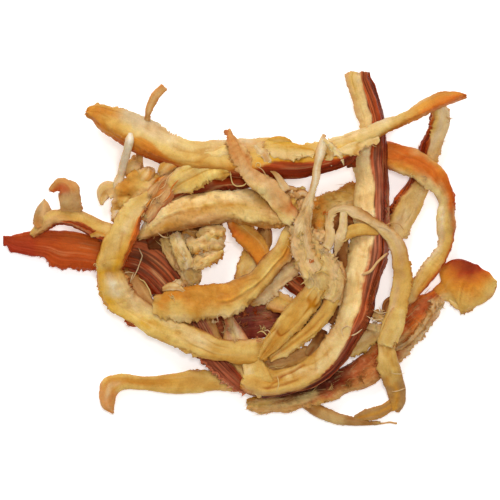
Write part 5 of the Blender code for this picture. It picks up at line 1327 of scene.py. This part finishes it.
class Nodes:
    """A short way to place and join a material's nodes. Each call returns the new node's output."""

    def __init__(self, name):
        self.material = bpy.data.materials.new(name)
        self.material.use_nodes = True
        self.tree = self.material.node_tree
        self.shader = self.tree.nodes["Principled BSDF"].inputs

    def put(self, socket, value):
        """Joins another node's output to a socket, or sets the socket's own value."""
        if isinstance(value, bpy.types.NodeSocket):
            self.tree.links.new(value, socket)
        else:
            socket.default_value = value

    def add(self, kind, inputs, output=0, **settings):
        """A node with its inputs set or joined, by name or number."""
        node = self.tree.nodes.new("ShaderNode" + kind)
        for key, value in settings.items():
            setattr(node, key, value)
        for key, value in inputs.items():
            self.put(node.inputs[key], value)
        return node.outputs[output]

    def maths(self, operation, *values):
        """The operation done on up to three values."""
        return self.add("Math", dict(enumerate(values)), operation=operation)

    def ramp(self, value, low, high, start, end):
        """start at low and below, end at high and above, a straight line between."""
        return self.add("MapRange", dict(enumerate((value, low, high, start, end))))

    def cloud(self, place, scale, detail, roughness=0.5):
        """Noise round a middle of about a half."""
        inputs = {"Vector": place, "Scale": scale, "Detail": detail, "Roughness": roughness}
        return self.add("TexNoise", inputs, "Fac")

    def stretch(self, place, scale):
        """Places multiplied by a scale for each direction."""
        return self.add("Mapping", {"Vector": place, "Scale": scale})

    def blend(self, share, first, second):
        """The first value where the share is 0, the second where it is 1."""
        return self.add("Mix", {0: share, 2: first, 3: second}, data_type="FLOAT")


def waxy_flesh(name, fine, gloss, glow):
    """Dried flesh with skin where the glaze says so.

    fine is how fine the grain is, gloss the roughness of flesh, glow its share of subsurface light. Colour is
    the surface's own tone, streaked along the strip, flecked, lined on skin, and stained by hair lines and
    specks. Roughness falls on skin and rises on dry grain. Bump is fine fibre along the strip over a leathery
    grain, with the marks sunk in and the skin's lines raised.
    """
    build = Nodes(name)
    tone = build.add("Attribute", {}, "Color", attribute_name="tone")
    glaze = build.add("Attribute", {}, "Fac", attribute_name="glaze")
    sheet = build.add("UVMap", {}, uv_map="sheet")
    place = build.add("TexCoord", {}, "Object")

    fibre = build.cloud(build.stretch(sheet, FIBRE_DRAWN), 1.6 * fine, 3.0, 0.6)
    rows = build.cloud(build.stretch(sheet, ROWS_DRAWN), 1.0, 2.0, 0.55)
    grain = build.cloud(place, GRAIN_SCALE * fine, 3.0, 0.65)
    broad = build.cloud(place, BROAD_SCALE, 2.0)
    veins = build.cloud(place, VEIN_SCALE, 4.0, 0.62)
    regions = build.cloud(place, REGION_SCALE, 1.0)

    lines = build.blend(glaze, 1.0, build.ramp(rows, 0.4, 0.56, 0.46, 1.2))
    light = build.maths("MULTIPLY", build.ramp(fibre, 0.3, 0.7, 0.95, 1.05), build.ramp(grain, 0.3, 0.7, 0.91, 1.09))
    light = build.maths("MULTIPLY", light, build.ramp(broad, 0.3, 0.7, 0.96, 1.04))
    light = build.maths("MULTIPLY", light, lines)
    lit = build.add("VectorMath", {0: tone, "Scale": light}, operation="SCALE")

    apart = build.maths("ABSOLUTE", build.maths("SUBTRACT", veins, 0.5))
    hairs = build.maths("MULTIPLY", build.ramp(apart, 0.0, HAIR_LINE, 0.28, 0.0),
                        build.ramp(regions, 0.47, 0.6, 0.0, 1.0))
    specks = build.maths("MULTIPLY", build.ramp(grain, 0.6, 0.7, 0.0, 0.14),
                         build.ramp(broad, 0.48, 0.62, 0.15, 1.0))
    marks = build.maths("MAXIMUM", hairs, specks)
    stained = build.add("VectorMath", {0: lit, 1: STAIN}, operation="MULTIPLY")
    colour = build.add("Mix", {0: marks, 6: lit, 7: stained}, 2, data_type="RGBA")

    dry = build.ramp(grain, 0.32, 0.6, gloss - 0.14, gloss + 0.12)
    sleek = build.ramp(fibre, 0.3, 0.7, 0.24, 0.4)
    height = build.maths("MULTIPLY_ADD", grain, 0.9, fibre)
    height = build.maths("MULTIPLY_ADD", marks, -0.5, height)
    height = build.maths("ADD", height, build.maths("MULTIPLY", lines, 0.9))
    bump = build.add("Bump", {"Strength": 0.6, "Distance": BUMP_HEIGHT, "Height": height}, "Normal")

    for key, value in {
        "Base Color": colour, "Roughness": build.blend(glaze, dry, sleek), "Normal": bump, "IOR": 1.45,
        "Specular IOR Level": 0.24, "Specular Tint": (1.0, 0.72, 0.45, 1.0), "Subsurface Weight": glow,
        "Subsurface Radius": (1.0, 0.5, 0.2), "Subsurface Scale": 0.0009,
    }.items():
        build.put(build.shader[key], value)
    return build.material


def pale_floor():
    """A plain pale floor just under the heap."""
    mesh = bpy.data.meshes.new("pale_floor")
    corners = [(x * FLOOR_HALF, y * FLOOR_HALF, -FLOOR_DROP) for x, y in ((-1, -1), (1, -1), (1, 1), (-1, 1))]
    mesh.from_pydata(corners, [], [(0, 1, 2, 3)])
    paper = Nodes("pale_paper")
    for key, value in {"Base Color": (0.92, 0.92, 0.915, 1.0), "Roughness": 0.9, "Emission Color": WHITE,
                       "Emission Strength": FLOOR_GLOW}.items():
        paper.put(paper.shader[key], value)
    mesh.materials.append(paper.material)
    floor = bpy.data.objects.new("pale_floor", mesh)
    bpy.context.scene.collection.objects.link(floor)


def lights_and_camera():
    """Two soft lights aimed at the origin, a white room and a camera straight above."""
    scene = bpy.context.scene
    for name, place, size, watts, shine in LIGHTS:
        data = bpy.data.lights.new(name, "AREA")
        data.size = size
        data.energy = watts
        data.specular_factor = shine
        light = bpy.data.objects.new(name, data)
        light.location = place
        aim = -np.array(place) / np.linalg.norm(place)
        light.rotation_euler = (np.arccos(-aim[2]), 0.0, np.arctan2(aim[1], aim[0]) - np.pi / 2)
        scene.collection.objects.link(light)
    world = bpy.data.worlds.new("white_room")
    world.use_nodes = True
    background = world.node_tree.nodes["Background"].inputs
    background["Color"].default_value = WHITE
    background["Strength"].default_value = ROOM_STRENGTH
    scene.world = world
    lens = bpy.data.cameras.new("overhead")
    lens.sensor_width = SENSOR_WIDTH
    lens.lens = SENSOR_WIDTH * (CAMERA_HEIGHT - HEAP_MIDDLE_HEIGHT) / VIEW_WIDTH
    lens.clip_end = 10.0
    camera = bpy.data.objects.new("overhead", lens)
    camera.location = (-MIDDLE[0] * MM, -MIDDLE[1] * MM, CAMERA_HEIGHT)
    scene.collection.objects.link(camera)
    scene.camera = camera
    scene.view_settings.view_transform = "Standard"


def main():
    """The strips first, then what lies on them, then the room."""
    flesh = waxy_flesh("waxy_flesh", fine=1.0, gloss=0.42, glow=0.3)
    crumb = waxy_flesh("torn_crumb", fine=1.2, gloss=0.6, glow=0.25)
    thread = waxy_flesh("dry_thread", fine=1.0, gloss=0.55, glow=0.15)
    draw = np.random.default_rng(SEED)
    pieces, fibres, shells = {}, [], []
    for number, item in enumerate(STRIPS):
        shell = StripSurface(item, 100 * (number + 1)).shell()
        shells.append(shell)
        pieces.setdefault(item.piece or item.name, []).append(closed_shell(shell))
        fibres += edge_barbs(shell, item, draw)
        if item.fuzz:
            fibres += surface_fuzz(shell, item, draw)
    for name, parts in pieces.items():
        piece_mesh(name, parts, flesh)
    piece_mesh("torn_crumbs", [crumbs(CRUMB_CLUSTERS, draw)], crumb)
    piece_mesh("edge_fibres", [tapered_tubes(*rows) for rows in fibres], thread)
    height = heap_height(shells)
    laid = [tapered_tubes(*rows, sides=THREAD_SIDES) for rows in laid_threads(THREADS, height, draw)]
    piece_mesh("laid_threads", laid, thread)
    piece_mesh("loose_tufts", [tapered_tubes(*rows) for rows in tufts(TUFTS, height, draw)], thread)
    pale_floor()
    lights_and_camera()


main()
